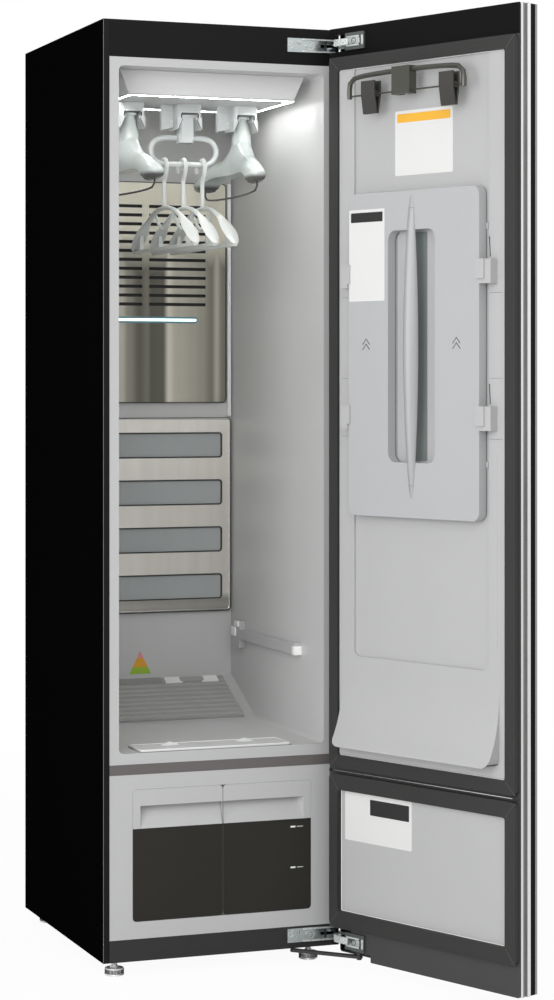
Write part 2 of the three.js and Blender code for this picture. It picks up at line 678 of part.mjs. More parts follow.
// A contoured air hanger: rings across its length, an arch cut under it and a wire between its legs
function airHangerBody(x) {
  const top = headLow;
  const stations = 20;
  const sides = 12;
  const rings = [];
  for (let k = 0; k <= stations; k += 1) {
    const share = -Math.cos((Math.PI * k) / stations);
    const reach = Math.abs(share);
    const y = hangY + airHanger.halfLength * share;
    const ease = reach * reach * (3 - 2 * reach);
    const centreX = x - airHanger.reachX * ease;
    const peak = airRise.shoulder - airRise.peak * Math.exp(-Math.pow(reach * airEnds.peakSpread, 2));
    const high = top - mix(peak, airRise.tipTop, Math.pow(reach, airShape.fallPower));
    const round = Math.sqrt(Math.max(0, 1 - Math.pow(reach, airEnds.tipPower)));
    const low = top - mix(airRise.tipTop + airHanger.tipWidth / 2, airRise.legBottom, round);
    const broad = mix(airHanger.bodyWidth, airHanger.tipWidth, ease) / 2;
    const halfWidth = broad * mix(airShape.tipNarrow, 1, round);
    const middle = (high + low) / 2;
    const halfHeight = ((high - low) / 2) * mix(airShape.tipFlat, 1, round);
    const ring = [];
    for (let side = 0; side < sides; side += 1) {
      const angle = (Math.PI * 2 * side) / sides;
      const [c, s] = [Math.cos(angle), Math.sin(angle)];
      const narrow = s > 0 ? 1 - s * airShape.topNarrow * (1 - reach) : 1;
      const [px, pz] = [c, s].map((part) => Math.sign(part) * Math.pow(Math.abs(part), airShape.square));
      ring.push(at(centreX + px * halfWidth * narrow, y, middle + pz * halfHeight));
    }
    rings.push(ring);
  }
  const arch = new THREE.Shape();
  const archBase = top - airRise.legBottom - overrun;
  arch.moveTo(hangY - airRise.archHalf, archBase);
  arch.bezierCurveTo(
    hangY - airRise.archHalf,
    top - airRise.archTop + overrun,
    hangY - airRise.archHalf * airEnds.archShare,
    top - airRise.archTop,
    hangY,
    top - airRise.archTop,
  );
  arch.bezierCurveTo(
    hangY + airRise.archHalf * airEnds.archShare,
    top - airRise.archTop,
    hangY + airRise.archHalf,
    top - airRise.archTop + overrun,
    hangY + airRise.archHalf,
    archBase,
  );
  const width = airHanger.bodyWidth;
  const hull = loft(rings).subtract(prism(arch, "x", x - width * 2, x + width * 2, 8));
  const wireX = x - airHanger.reachX * airEnds.wireShare;
  const wireLow = top - airRise.legBottom - airWire.drop;
  const wireTop = top - airRise.legBottom + overrun * 2;
  const wire = tube(
    [
      at(wireX, hangY - airWire.halfSpan, wireTop),
      at(wireX, hangY - airWire.halfSpan, wireLow + airWire.drop / 2),
      at(wireX, hangY - airWire.halfSpan + airWire.drop / 2, wireLow),
      at(wireX, hangY + airWire.halfSpan - airWire.drop / 2, wireLow),
      at(wireX, hangY + airWire.halfSpan, wireLow + airWire.drop / 2),
      at(wireX, hangY + airWire.halfSpan, wireTop),
    ],
    airWire.radius,
    24,
    6,
  );
  return hull.add(turningHead(x, top - airRise.shoulder)).add(wire);
}
function airHangerPiece(name, step, turn) {
  const x = nozzleX(step);
  const holder = new THREE.Group();
  holder.position.set(x, hangY, 0);
  holder.rotation.z = radians(turn);
  group.add(holder);
  const mesh = piece(name, airHangerBody(x), mintGloss, holder);
  mesh.position.set(-x, -hangY, 0);
}
airHangerPiece("air_hanger_left", -1, airHanger.leftTurn);
airHangerPiece("air_hanger_right", 1, 0);

// The loop rail below the middle nozzle
const loopY = doorRoom + small.halfLength;
const loopX = nozzleX(0);
const loopLow = headLow - loop.lowDrop;
const loopHigh = loopLow + loop.bend * 2;
const bendX = loop.halfSpan - loop.bend;
const loopPath = [at(loopX + loop.connectorWidth / 2 - overrun, loopY, loopHigh)];
const bendSteps = 6;
for (let k = 0; k <= bendSteps; k += 1) {
  const angle = Math.PI / 2 - (Math.PI * k) / bendSteps;
  const [c, s] = [Math.cos(angle), Math.sin(angle)];
  loopPath.push(at(loopX + bendX + loop.bend * c, loopY, loopLow + loop.bend + loop.bend * s));
}
loopPath.push(at(loopX, loopY, loopLow));
for (let k = 0; k <= bendSteps; k += 1) {
  const angle = -Math.PI / 2 - (Math.PI * k) / bendSteps;
  const [c, s] = [Math.cos(angle), Math.sin(angle)];
  loopPath.push(at(loopX - bendX + loop.bend * c, loopY, loopLow + loop.bend + loop.bend * s));
}
loopPath.push(at(loopX - loop.connectorWidth / 2 + overrun, loopY, loopHigh));
const loopTube = tube(loopPath, loop.radius, 44, 10);
const connectorFront = hangY - airHead.neckDepth / 2;
const connectorShape = rounded(
  loopX - loop.connectorWidth / 2,
  loopX + loop.connectorWidth / 2,
  connectorFront,
  connectorFront + loop.connectorDepth,
  nozzle.cornerRadius,
);
const connectorLow = headLow - loopBlock.height;
const connector = prism(connectorShape, "z", connectorLow, nozzleLow - fit);
piece("loop_rail", loopTube.add(connector).add(slidingHead(loopX, connectorLow + overrun)), paleMoulding);

// Small hangers on the loop's lower bar: a hook, arms that widen to pads, struts, a bar and a hanging loop
const smallMiddle = loopLow - smallArm.drop;
const smallLow = smallMiddle - smallArm.fall;
const armFall = (share) => smallMiddle - smallArm.fall * share * share;

function smallHook(x) {
  const middle = loopLow + loop.radius + fit + small.wire - small.hookRadius;
  const neck = loopLow - small.neckDrop;
  const arcSteps = 8;
  const path = [];
  for (let k = 0; k <= arcSteps; k += 1) {
    const angle = Math.PI * mix(hookArc.start, hookArc.end, k / arcSteps);
    path.push(at(x, loopY + small.hookRadius * Math.cos(angle), middle + small.hookRadius * Math.sin(angle)));
  }
  path.push(at(x, loopY - small.hookRadius / 2, mix(middle, neck, small.neckShare)));
  path.push(at(x, loopY, neck));
  path.push(at(x, loopY, smallMiddle));
  return tube(path, small.wire, 30, 8);
}

function smallArms(x) {
  const stations = 24;
  const sides = 8;
  const rings = [];
  for (let k = 0; k <= stations; k += 1) {
    const share = -Math.cos((Math.PI * k) / stations);
    const reach = Math.abs(share);
    const pad = THREE.MathUtils.smoothstep(reach, smallPad.startShare, smallPad.fullShare);
    const close = Math.sqrt(Math.max(smallPad.tipShare, 1 - Math.pow(reach, smallPad.tipPower)));
    const halfWidth = (mix(smallArm.width, smallArm.padWidth, pad) / 2) * close;
    const halfHeight = mix(smallArm.height, smallArm.padHeight, pad) / 2;
    const tilt = Math.atan2(2 * smallArm.fall * share, small.halfLength);
    const ring = [];
    for (let side = 0; side < sides; side += 1) {
      const angle = (Math.PI * 2 * side) / sides;
      const [c, s] = [Math.cos(angle), Math.sin(angle)];
      const y = loopY + small.halfLength * share + halfHeight * s * Math.sin(tilt);
      ring.push(at(x + halfWidth * c, y, armFall(share) + halfHeight * s * Math.cos(tilt)));
    }
    rings.push(ring);
  }
  return loft(rings);
}

function smallHanger(name, step) {
  const x = loopX + step * small.spread;
  const barHalf = small.halfLength - smallArm.padHeight;
  const [w, h] = [smallBar.width / 2, smallBar.height / 2];
  const bar = block(x - w, x + w, loopY - barHalf, loopY + barHalf, smallLow - h, smallLow + h);
  let frame = smallArms(x).add(bar);
  for (const side of [-1, 1]) {
    const y = loopY + side * small.halfLength * smallBar.strutShare;
    frame = frame.add(block(x - w, x + w, y - h, y + h, smallLow, armFall(smallBar.strutShare)));
  }
  const loopShare = smallLoop.halfWidth / small.halfLength;
  const sling = new THREE.QuadraticBezierCurve3(
    at(x, loopY - smallLoop.halfWidth, armFall(loopShare)),
    at(x, loopY, smallMiddle - smallLoop.drop * 2),
    at(x, loopY + smallLoop.halfWidth, armFall(loopShare)),
  );
  piece(name, frame.add(tube(sling.getPoints(8), smallLoop.radius, 12, 6)).add(smallHook(x)), mintGloss);
}
smallHanger("small_hanger_left", -1);
smallHanger("small_hanger_middle", 0);
smallHanger("small_hanger_right", 1);

// Tank compartment with its light front panel
const bayDepth = fit + tank.depth + bay.rearPlay;
const bayLeft = bay.sideInset - fit;
const bayRight = body.width - bay.sideInset + fit;
const bayLow = bay.low - fit;
const bayHigh = bay.high + fit;
const w = bay.wall;
const bayBox = prism(
  rounded(bayLeft - w, bayRight + w, bayLow - w, bayHigh + w, bay.cornerRadius + w),
  "y",
  0,
  bayDepth + w,
);
const bayMouth = rounded(bayLeft, bayRight, bayLow, bayHigh, bay.cornerRadius);
const bayHollow = prism(bayMouth, "y", -overrun, bayDepth);
const bayFront = block(railLeft, railRight, 0, w, rails.bottomHeight + fit, rails.midBottom - fit);
piece("tank_bay", bayBox.add(bayFront).subtract(bayHollow), paleMoulding);

// One open-topped tank and the pale header that closes it. The header's grip is a wedge under its top band,
// deepest at the top and open towards the other tank
const headerLow = bay.high - tank.headerHeight;
const gripHigh = mix(headerLow, bay.high, grip.highShare);
function waterTank(name, left, right, outerIsLeft) {
  const front = fit;
  const back = front + tank.depth;
  const outline = rounded(left, right, bay.low, bay.high, bay.cornerRadius);
  const whole = prism(outline, "y", front, back);
  const t = tank.wall;
  const [pastLeft, pastRight, pastBack] = [left - overrun, right + overrun, back + overrun];
  const basin = whole
    .subtract(block(pastLeft, pastRight, -overrun, pastBack, headerLow - fit, bay.high + overrun))
    .subtract(block(left + t, right - t, front + t, back - t, bay.low + t, bay.high + overrun));
  piece(name, basin, smokedPlastic);
  const [outerX, innerX, inwards] = outerIsLeft ? [left, right, 1] : [right, left, -1];
  const mouthRing = (depth, slant, z) => {
    const open = innerX + inwards * overrun;
    const end = outerX + inwards * grip.outerInset;
    return [
      at(end - inwards * slant, front - depth, z),
      at(open, front - depth, z),
      at(open, front + depth, z),
      at(end + inwards * slant, front + depth, z),
    ];
  };
  const mouth = loft([mouthRing(fit, fit, headerLow), mouthRing(grip.depth, grip.slant, gripHigh)]);
  const cover = whole.subtract(
    block(pastLeft, pastRight, -overrun, pastBack, bay.low - overrun, headerLow),
  );
  const rear = front + grip.depth + t * 2;
  const header = cover
    .subtract(block(left + t, right - t, rear, back - t, headerLow - overrun, bay.high - t))
    .subtract(block(left + t, right - t, front + t, rear + overrun, gripHigh + t, bay.high - t))
    .subtract(mouth);
  piece(name + "_header", header, paleMoulding);
}
const tankSplit = body.width / 2;
waterTank("tank_left", bay.sideInset, tankSplit - tank.dividerGap / 2, true);
waterTank("tank_right", tankSplit + tank.dividerGap / 2, body.width - bay.sideInset, false);

// Machine space behind the tanks
const deckZ = body.sheet + fit;
const shareX = (share) => mix(innerLeft, innerRight, share);
const shareY = (share) => mix(deckFront, deckBack, share);
{
  const x = shareX(compressor.xShare);
  const y = shareY(compressor.yShare);
  const bodyTop = deckZ + compressor.height;
  const profile = [
    [0, deckZ],
    [compressor.radius + compressor.footGrow, deckZ],
    [compressor.radius + compressor.footGrow, deckZ + compressor.foot],
    [compressor.radius, deckZ + compressor.foot],
    [compressor.radius, bodyTop],
    [compressor.radius * compressorDome.wideShare, bodyTop + compressor.dome * compressorDome.wideRise],
    [compressor.radius * compressorDome.narrowShare, bodyTop + compressor.dome],
    [0, bodyTop + compressor.dome],
  ];
  piece("compressor", turned(x, y, profile, 24), blackSheet);
}
{
  const x = shareX(boiler.xShare);
  const y = shareY(boiler.yShare);
  const top = deckZ + boiler.height;
  const outline = rounded(
    x - boiler.width / 2,
    x + boiler.width / 2,
    y - boiler.depth / 2,
    y + boiler.depth / 2,
    boiler.radius,
  );
  const volume = prism(outline, "z", deckZ, top)
    .add(rod("z", x - boiler.width / 4, y, boiler.pipe, top - overrun, top + boiler.pipeRise))
    .add(rod("z", x + boiler.width / 4, y, boiler.pipe, top - overrun, top + boiler.pipeRise));
  piece("steam_generator", volume, zincSteel);
}
{
  const x = shareX(fan.xShare);
  const y = shareY(fan.yShare);
  const z = deckZ + fan.stand + fan.radius;
  const [x0, x1] = [x - fan.width / 2, x + fan.width / 2];
  const volume = rod("x", y, z, fan.radius, x0, x1, 12)
    .add(block(x0, x1, y + fan.radius - fan.outlet, y + fan.radius, z, z + fan.radius + fan.outlet))
    .add(block(x0, x1, y - fan.hub, y + fan.hub, deckZ, z))
    .subtract(rod("x", y, z, fan.hub, x0 - overrun, x0 + fan.width / 2, 8));
  piece("circulation_fan", volume, machineGrey);
}
{
  const x = body.width / 2;
  const front = bayDepth + w + machine.gapFromBay;
  const back = front + coil.depth;
  let volume = block(x - coil.width / 2, x + coil.width / 2, front, back, deckZ, deckZ + coil.height);
  const pitch = coil.width / (coil.fins + 1);
  for (let fin = 1; fin <= coil.fins; fin += 1) {
    const middle = x - coil.width / 2 + fin * pitch;
    const [x0, x1] = [middle - coil.finGap / 2, middle + coil.finGap / 2];
    const low = deckZ + coil.grooveDepth;
    const high = deckZ + coil.height - coil.grooveDepth;
    volume = volume.subtract(block(x0, x1, front - overrun, front + coil.grooveDepth, low, high));
  }
  piece("heat_exchanger", volume, zincSteel);
}

// The door, drawn closed: n runs from its inner face towards the chamber
const doorY = (n) => n - door.gap;
const doorBlock = (x0, x1, n0, n1, z0, z1) => block(x0, x1, doorY(n0), doorY(n1), z0, z1);
const doorPrism = (outline, n0, n1, segments) => prism(outline, "y", doorY(n0), doorY(n1), segments);
const stepX = body.width - doorStep.length;
const stepZ = door.low + doorStep.height;
const pocketX = body.width - pocket.length;
const doorHigh = body.height - door.topDrop;
const topPocketHigh = doorHigh - pocket.topInset;
const topPocketLow = topPocketHigh - pocket.height;
const lowPocketHigh = stepZ + pocket.height;
const frameBack = -door.frameDepth;

function doorTray(left, right, low, high, n0, n1, openAtLowN, radius, wall) {
  const outer = doorPrism(rounded(left, right, low, high, radius), n0, n1);
  const inner = rounded(left + wall, right - wall, low + wall, high - wall, Math.max(radius - wall, fit));
  const [h0, h1] = openAtLowN ? [n0 - overrun, n1 - wall] : [n0 + wall, n1 + overrun];
  return outer.subtract(doorPrism(inner, h0, h1));
}

// The hinge corners are solid blocks round their pockets, and the bottom steps up there
const edgeWall = edgeChannel.depth + fit;
const channelRoom = doorBlock(
  -overrun,
  edgeWall,
  -clearAway,
  -edgeChannel.start + fit,
  -clearAway,
  clearAway,
);
const stepCut = doorBlock(stepX, body.width + overrun, -clearAway, clearAway, -clearAway, stepZ);
const cornerBlock = (low, high) => doorBlock(pocketX - door.wall * 2, body.width, frameBack, 0, low, high);
const pocketCut = (low, high) =>
  doorBlock(pocketX, body.width + overrun, frameBack - overrun, overrun, low, high);
const frameTray = doorTray(0, body.width, door.low, doorHigh, frameBack, 0, true, door.radius, door.wall);
const frame = frameTray
  .add(cornerBlock(topPocketLow - door.wall * 2, doorHigh - door.wall))
  .add(doorBlock(stepX - door.wall, body.width, frameBack, 0, stepZ, stepZ + door.wall * 2))
  .add(cornerBlock(stepZ, lowPocketHigh + door.wall * 2))
  .add(doorBlock(stepX - door.wall, stepX, frameBack, 0, door.low, stepZ + door.wall))
  .add(doorBlock(edgeWall, edgeWall + door.wall, frameBack, 0, door.low, doorHigh))
  .subtract(channelRoom)
  .subtract(stepCut)
  .subtract(pocketCut(topPocketLow, topPocketHigh))
  .subtract(pocketCut(stepZ - overrun, lowPocketHigh));
const stayX = hingeX - stay.pivotX;
const stayBossLow = stepZ - overrun;
const stayTop = -stay.drop;
const stayLow = stayTop - stay.thick;
const stayRod = (radius, low, high) => rod("z", stayX, doorY(-stay.pivotN), radius, low, high);
const withStayPin = frame
  .add(stayRod(stayPin.boss, stayTop + fit, stepZ + door.wall))
  .add(stayRod(stayPin.radius, stayLow - fit - stayPin.head, stayBossLow))
  .add(stayRod(stayPin.boss, stayLow - fit - stayPin.head, stayLow - fit));
piece("door_frame", withStayPin, greySheet, closedDoor);

const outerFront = frameBack - door.split;
const outerPanel = doorTray(
  0,
  body.width,
  door.low,
  doorHigh - fit,
  outerFront - door.outerDepth,
  outerFront,
  false,
  door.radius,
  door.wall,
);
piece("outer_panel", outerPanel, blackSheet, closedDoor);

const channelTop = -edgeChannel.start;
const grooveLow = channelTop - edgeChannel.strip;
const grooveHigh = channelTop - edgeChannel.wall;
const channelBody = doorBlock(0, edgeChannel.depth, frameBack, channelTop, door.low, doorHigh).subtract(
  doorBlock(-overrun, edgeChannel.groove, grooveLow, grooveHigh, door.low - overrun, doorHigh + overrun),
);
piece("handle_channel", channelBody, zincSteel, closedDoor);

// Magnetic gaskets
const gasketRight = body.width - gasket.hingeInset;
const gasketLow = rails.midBottom + gasket.overlapLow;
const gasketHigh = topRailLow + gasket.overlapTop;
function gasketRing(left, right, low, high, width, lowWidth) {
  const outer = rounded(left, right, low, high, gasket.radius);
  outer.holes.push(rounded(left + width, right - width, low + lowWidth, high - lowWidth, gasket.radius / 2));
  return doorPrism(outer, fit, gasket.thick);
}
piece(
  "gasket_upper",
  gasketRing(gasket.lowInset, gasketRight, gasketLow, gasketHigh, gasket.width, gasket.width),
  darkRubber,
  closedDoor,
);
piece(
  "gasket_lower",
  gasketRing(gasket.lowInset, gasketRight, lowGasket.low, lowGasket.high, gasket.width, lowGasket.width),
  darkRubber,
  closedDoor,
);

// The door's moulded liner: raised borders, a long recess, the flared apron, the catches and the trouser hook
const linerLeft = gasket.lowInset + gasket.width + fit;
const linerRight = gasketRight - gasket.width - fit;
const linerLow = gasketLow + gasket.width + fit;
const linerHigh = gasketHigh - gasket.width - fit;
const linerZ = (share) => mix(linerLow, linerHigh, share);
const pressRight = body.width - press.hingeInset;
const pressLow = linerZ(press.lowShare);
const pressHigh = linerZ(press.highShare);
const recess = rounded(
  linerPanel.recessLeft,
  body.width - linerPanel.recessInset,
  linerZ(linerPanel.recessLowShare),
  linerHigh + overrun * 4,
  linerPanel.radius,
);
const linerOutline = rounded(linerLeft, linerRight, linerLow, linerHigh, gasket.radius / 2);
let doorLiner = doorPrism(linerOutline, fit, linerPanel.raised)
  .subtract(doorPrism(recess, linerPanel.sheet + fit, linerPanel.raised + overrun));
const apronLow = linerZ(apron.lowShare);
const apronHigh = linerZ(apron.highShare);
const apronLeft = apron.sideInset;
const apronRight = body.width - apron.sideInset;
// The apron's side outline, inset by the wall for the hollow behind it
function apronOutline(wall, back) {
  const side = new THREE.Shape();
  side.moveTo(doorY(back), apronLow + wall);
  side.lineTo(doorY(apron.reach - wall), apronLow + wall);
  side.lineTo(doorY(apron.reach - wall), apronLow + apron.lip);
  side.quadraticCurveTo(
    doorY(linerPanel.raised),
    mix(apronLow, apronHigh, apron.bendShare),
    doorY(linerPanel.raised - wall),
    apronHigh - wall,
  );
  side.lineTo(doorY(back), apronHigh - wall);
  return side;
}
const apronFace = doorPrism(
  rounded(apronLeft, apronRight, apronLow, apronHigh + apron.corner, apron.corner),
  -overrun,
  apron.reach + overrun,
  4,
);
const apronBack = apronOutline(apron.wall, -overrun);
const apronHollow = prism(apronBack, "x", apronLeft + apron.wall, apronRight - apron.wall, 6);
doorLiner = doorLiner
  .add(prism(apronOutline(0, linerPanel.sheet), "x", apronLeft, apronRight, 6).intersect(apronFace))
  .subtract(apronHollow);
for (const share of [latch.lowShare, latch.highShare]) {
  const low = mix(pressLow, pressHigh, share);
  const high = low + latch.height;
  const flapLow = press.front + fit;
  const flapHigh = flapLow + latch.flap;
  const hingeWall = pressRight + fit;
  const outerWall = press.left - fit;
  doorLiner = doorLiner
    .add(doorBlock(hingeWall, hingeWall + latch.hinge, linerPanel.sheet, flapHigh, low, high))
    .add(doorBlock(hingeWall - latch.hold, hingeWall + overrun, flapLow, flapHigh, low + latch.chamfer, high))
    .add(doorBlock(outerWall - latch.outer, outerWall, linerPanel.sheet, flapLow, low, high))
    .add(
      doorBlock(
        outerWall - latch.outer / 2,
        outerWall + latch.hold,
        flapLow - latch.flap,
        flapHigh,
        low + latch.chamfer,
        high,
      ).subtract(doorBlock(outerWall, outerWall + latch.hold * 2, -overrun, flapLow, low, high)),
    );
}
// Two bosses carry the press plate from behind
for (const share of [pressSlot.lowShare, pressSlot.highShare]) {
  const middle = mix(pressLow, pressHigh, share);
  for (const x of [press.left + press.wall / 2, pressRight - press.wall / 2]) {
    const half = press.wall * 2;
    doorLiner = doorLiner.add(
      doorBlock(x - half, x + half, linerPanel.sheet, press.back - fit, middle - half, middle + half),
    );
  }
}
const barZ = linerHigh - trouser.barDrop;
const wireZ = linerHigh - trouser.wireDrop;
const blockHigh = barZ + trouserBlock.above;
const blockLow = wireZ - trouserBlock.below;
const trouserRight = body.width - trouser.hingeInset;
const blockLeft = mix(trouser.left, trouserRight, trouserBlock.leftShare);
const blockRight = blockLeft + trouserBlock.width;
const hookMiddle = (blockLeft + blockRight) / 2;
const hookLow = blockLow + trouserHook.lowGap;
const hookHigh = blockHigh - trouserHook.highGap;
const hookBack = trouser.reach - trouserBlock.hookThick / 2;
doorLiner = doorLiner
  .add(
    doorBlock(
      hookMiddle - trouserHook.neck / 2,
      hookMiddle + trouserHook.neck / 2,
      linerPanel.sheet,
      hookBack + overrun / 2,
      hookLow,
      hookHigh,
    ),
  )
  .add(
    doorBlock(
      hookMiddle - trouserBlock.hookWidth / 2,
      hookMiddle + trouserBlock.hookWidth / 2,
      hookBack,
      hookBack + trouserBlock.hookThick,
      hookLow,
      hookHigh,
    ),
  );
piece("door_liner", doorLiner, paleMoulding, closedDoor);

const lowPanelInset = gasket.lowInset + gasket.width + fit;
const lowPanelOutline = rounded(
  lowPanelInset,
  linerRight,
  lowGasket.low + lowGasket.width + fit,
  lowGasket.high - lowGasket.width - fit,
  gasket.radius / 2,
);
piece("lower_door_panel", doorPrism(lowPanelOutline, fit, linerPanel.sheet + fit), paleMoulding, closedDoor);

// Press plate with its slot, and the bow handle on it
const slotLow = mix(pressLow, pressHigh, pressSlot.lowShare);
const slotHigh = mix(pressLow, pressHigh, pressSlot.highShare);
const slotLeft = press.left + pressSlot.leftInset;
const slotRight = pressRight - pressSlot.rightInset;
const t = press.wall;
const plateOutline = rounded(press.left, pressRight, pressLow, pressHigh, press.radius);
const plateOuter = doorPrism(plateOutline, press.back, press.front);
const plateInner = doorPrism(
  rounded(press.left + t, pressRight - t, pressLow + t, pressHigh - t, press.radius - t),
  press.back - overrun,
  press.front - t,
);
const slotWall = doorPrism(
  rounded(slotLeft - t, slotRight + t, slotLow - t, slotHigh + t, pressSlot.radius + t),
  press.back,
  press.front,
);
const slotHole = doorPrism(
  rounded(slotLeft, slotRight, slotLow, slotHigh, pressSlot.radius),
  press.back - overrun,
  press.front + overrun,
);
piece("press_plate", plateOuter.subtract(plateInner).add(slotWall).subtract(slotHole), plateBlue, closedDoor);

const bowLow = mix(pressLow, pressHigh, bow.lowShare);
const bowHigh = mix(pressLow, pressHigh, bow.highShare);
const bowX = mix(press.left, pressRight, bow.centreShare);
const bowRings = [];
const bowSteps = 18;
const bowSides = 10;
for (let k = 0; k <= bowSteps; k += 1) {
  const share = k / bowSteps;
  const swell = Math.sin(Math.PI * share);
  const full = mix(bow.tipShare, 1, Math.pow(swell, bow.fullness));
  const centre = press.front + fit + bow.halfDepth * full + bow.rise * Math.pow(swell, bow.flatness);
  const z = mix(bowLow, bowHigh, share);
  const ring = [];
  for (let side = 0; side < bowSides; side += 1) {
    const angle = (Math.PI * 2 * side) / bowSides;
    ring.push(
      at(
        bowX + bow.halfWidth * full * Math.cos(angle),
        doorY(centre + bow.halfDepth * full * Math.sin(angle)),
        z,
      ),
    );
  }
  bowRings.push(ring);
}
piece("press_handle", loft(bowRings), plateBlue, closedDoor);

// Trouser hanger: a bar with bent ends, a wire between them and a block that hooks on the liner
const reachY = doorY(trouser.reach);
const bendRadius = trouser.barRadius * 3;
const barPath = [
  at(trouser.left, reachY, wireZ - trouser.barRadius),
  at(trouser.left, reachY, barZ - bendRadius),
  at(trouser.left + bendRadius / 3, reachY, barZ - bendRadius / 3),
  at(trouser.left + bendRadius, reachY, barZ),
  at(trouserRight - bendRadius, reachY, barZ),
  at(trouserRight - bendRadius / 3, reachY, barZ - bendRadius / 3),
  at(trouserRight, reachY, barZ - bendRadius),
  at(trouserRight, reachY, wireZ - trouser.barRadius),
];
const blockN0 = trouser.reach - trouserBlock.depth / 2;
const blockN1 = trouser.reach + trouserBlock.depth / 2;
const hookClear = fit;
const carrier = doorBlock(blockLeft, blockRight, blockN0, blockN1, blockLow, blockHigh);
const hookSlot = doorBlock(
  hookMiddle - trouserBlock.hookWidth / 2 - hookClear,
  hookMiddle + trouserBlock.hookWidth / 2 + hookClear,
  hookBack - hookClear,
  hookBack + trouserBlock.hookThick + hookClear,
  blockLow - overrun,
  hookHigh + hookClear,
);
const neckSlot = doorBlock(
  hookMiddle - trouserHook.neck / 2 - hookClear,
  hookMiddle + trouserHook.neck / 2 + hookClear,
  blockN0 - overrun,
  trouser.reach,
  blockLow - overrun,
  hookHigh + hookClear,
);
const wireRod = rod("x", reachY, wireZ, trouser.wireRadius, trouser.left, trouserRight, 4);
piece(
  "trouser_hanger",
  tube(barPath, trouser.barRadius, 24, 8).add(wireRod).add(carrier).subtract(hookSlot).subtract(neckSlot),
  nickelGrey,
  closedDoor,
);

// Each clip: a front plate bored for the wire, and a rear jaw that turns about it
function trouserClip(side, centre) {
  const [x0, x1] = [centre - clip.width / 2, centre + clip.width / 2];
  const [high, low] = [wireZ + clip.rise, wireZ - clip.drop];
  const half = clip.spread / 2;
  const eyeRadius = clip.bore + clip.thick;
  const bore = rod("x", reachY, wireZ, clip.bore, x0 - overrun, x1 + overrun, 5);
  const ear = clip.width / 4;
  const frontPlate = polygon([
    [reachY + half, high],
    [reachY + half, wireZ],
    [reachY + fit, low],
    [reachY + fit + clip.thick, low],
    [reachY + half + clip.thick, wireZ],
    [reachY + half + clip.thick, high],
  ]);
  const rearPlate = polygon([
    [reachY - half, high],
    [reachY - half, wireZ],
    [reachY - fit, low],
    [reachY - fit - clip.thick, low],
    [reachY - half - clip.thick, wireZ],
    [reachY - half - clip.thick, high],
  ]);
  const eye = (a, b, towards) => {
    const [front, back] = towards < 0 ? [reachY + towards, reachY] : [reachY, reachY + towards];
    const web = block(a, b, front, back, wireZ - clip.bore, wireZ + eyeRadius);
    return rod("x", reachY, wireZ, eyeRadius, a, b, 5).add(web);
  };
  const spread = half + clip.thick / 2;
  piece(
    "trouser_clip_" + side,
    prism(frontPlate, "x", x0, x1)
      .add(eye(x0, x0 + ear, spread))
      .add(eye(x1 - ear, x1, spread))
      .subtract(bore),
    nickelGrey,
    closedDoor,
  );
  piece(
    "trouser_clip_" + side + "_jaw",
    prism(rearPlate, "x", x0, x1)
      .add(eye(x0 + ear + fit, x1 - ear - fit, -spread))
      .subtract(bore),
    nickelGrey,
    closedDoor,
  );
}
trouserClip("left", mix(trouser.left, blockLeft, clip.leftShare));
trouserClip("right", mix(blockRight, trouserRight, clip.rightShare));

// Hinges: a plate and an eye on the body, two bored arms on the door
function hinge(name, plateLow, pocketLow, pocketHigh) {
  const middle = (pocketLow + pocketHigh) / 2;
  const armLow = middle - hingeArm.thick / 2;
  const armHigh = middle + hingeArm.thick / 2;
  const face = -fit;
  const plateFront = face - hingePlate.thick;
  const plateLeft = body.width - hingePlate.rightInset;
  const plateRight = plateLeft + hingePlate.length;
  const plateHigh = plateLow + hingePlate.height;
  const eyeRight = hingeX + hingeArm.outer;
  const pinReach = hingeArm.thick / 2 + doorArm.gap + doorArm.thick + hingePin.head;
  let base = block(plateLeft, plateRight, plateFront, face, plateLow, plateHigh)
    .add(block(plateRight - overrun, eyeRight, plateFront, face, armLow, armHigh))
    .add(block(hingeX - hingeArm.inner, eyeRight, hingeY, face, armLow, armHigh))
    .add(rod("z", hingeX, hingeY, hingePin.radius, middle - pinReach, middle + pinReach))
    .add(rod("z", hingeX, hingeY, hingeArm.eye, armLow, armHigh));
  const eyeFront = hingeY - hingeArm.eye * 2;
  const eyeTrim = block(eyeRight, eyeRight + overrun * 2, eyeFront, face, armLow - fit, armHigh + fit);
  base = base.subtract(eyeTrim);
  for (const [shareAcross, shareUp] of screwShares) {
    const x = mix(plateLeft, plateRight, shareAcross);
    const z = mix(plateLow, plateHigh, shareUp);
    base = base.add(rod("y", x, z, hingePlate.screw, plateFront - hingePlate.screwRise, face));
  }
  piece("hinge_" + name + "_base", base, zincSteel);
  const houseRight = hingeX - doorArm.houseStart;
  const houseLeft = hingeX - doorArm.houseEnd;
  const armBottom = armLow - doorArm.gap - doorArm.thick;
  const armTop = armHigh + doorArm.gap + doorArm.thick;
  const plates = [
    [armBottom, armBottom + doorArm.thick],
    [armTop - doorArm.thick, armTop],
  ];
  const houseLow = middle - doorHouse.height / 2;
  const houseHigh = middle + doorHouse.height / 2;
  const plugRight = houseRight + doorArm.thick;
  let arm = doorBlock(houseLeft, houseRight, fit, doorArm.houseProud, houseLow, houseHigh).add(
    doorBlock(pocketX + fit, plugRight, -doorArm.houseBack, doorArm.houseProud, houseLow, houseHigh),
  );
  for (const [low, high] of plates) {
    const eyeOutline = rounded(
      houseRight,
      hingeX + doorArm.halfWidth,
      hingeY - doorArm.halfWidth,
      hingeY + doorArm.halfWidth,
      doorArm.halfWidth,
    );
    arm = arm.add(prism(eyeOutline, "z", low, high));
  }
  arm = arm.subtract(
    rod("z", hingeX, hingeY, hingePin.radius + hingePin.play, armBottom - overrun, armTop + overrun),
  );
  piece("hinge_" + name + "_door_arm", arm, zincSteel, closedDoor);
}
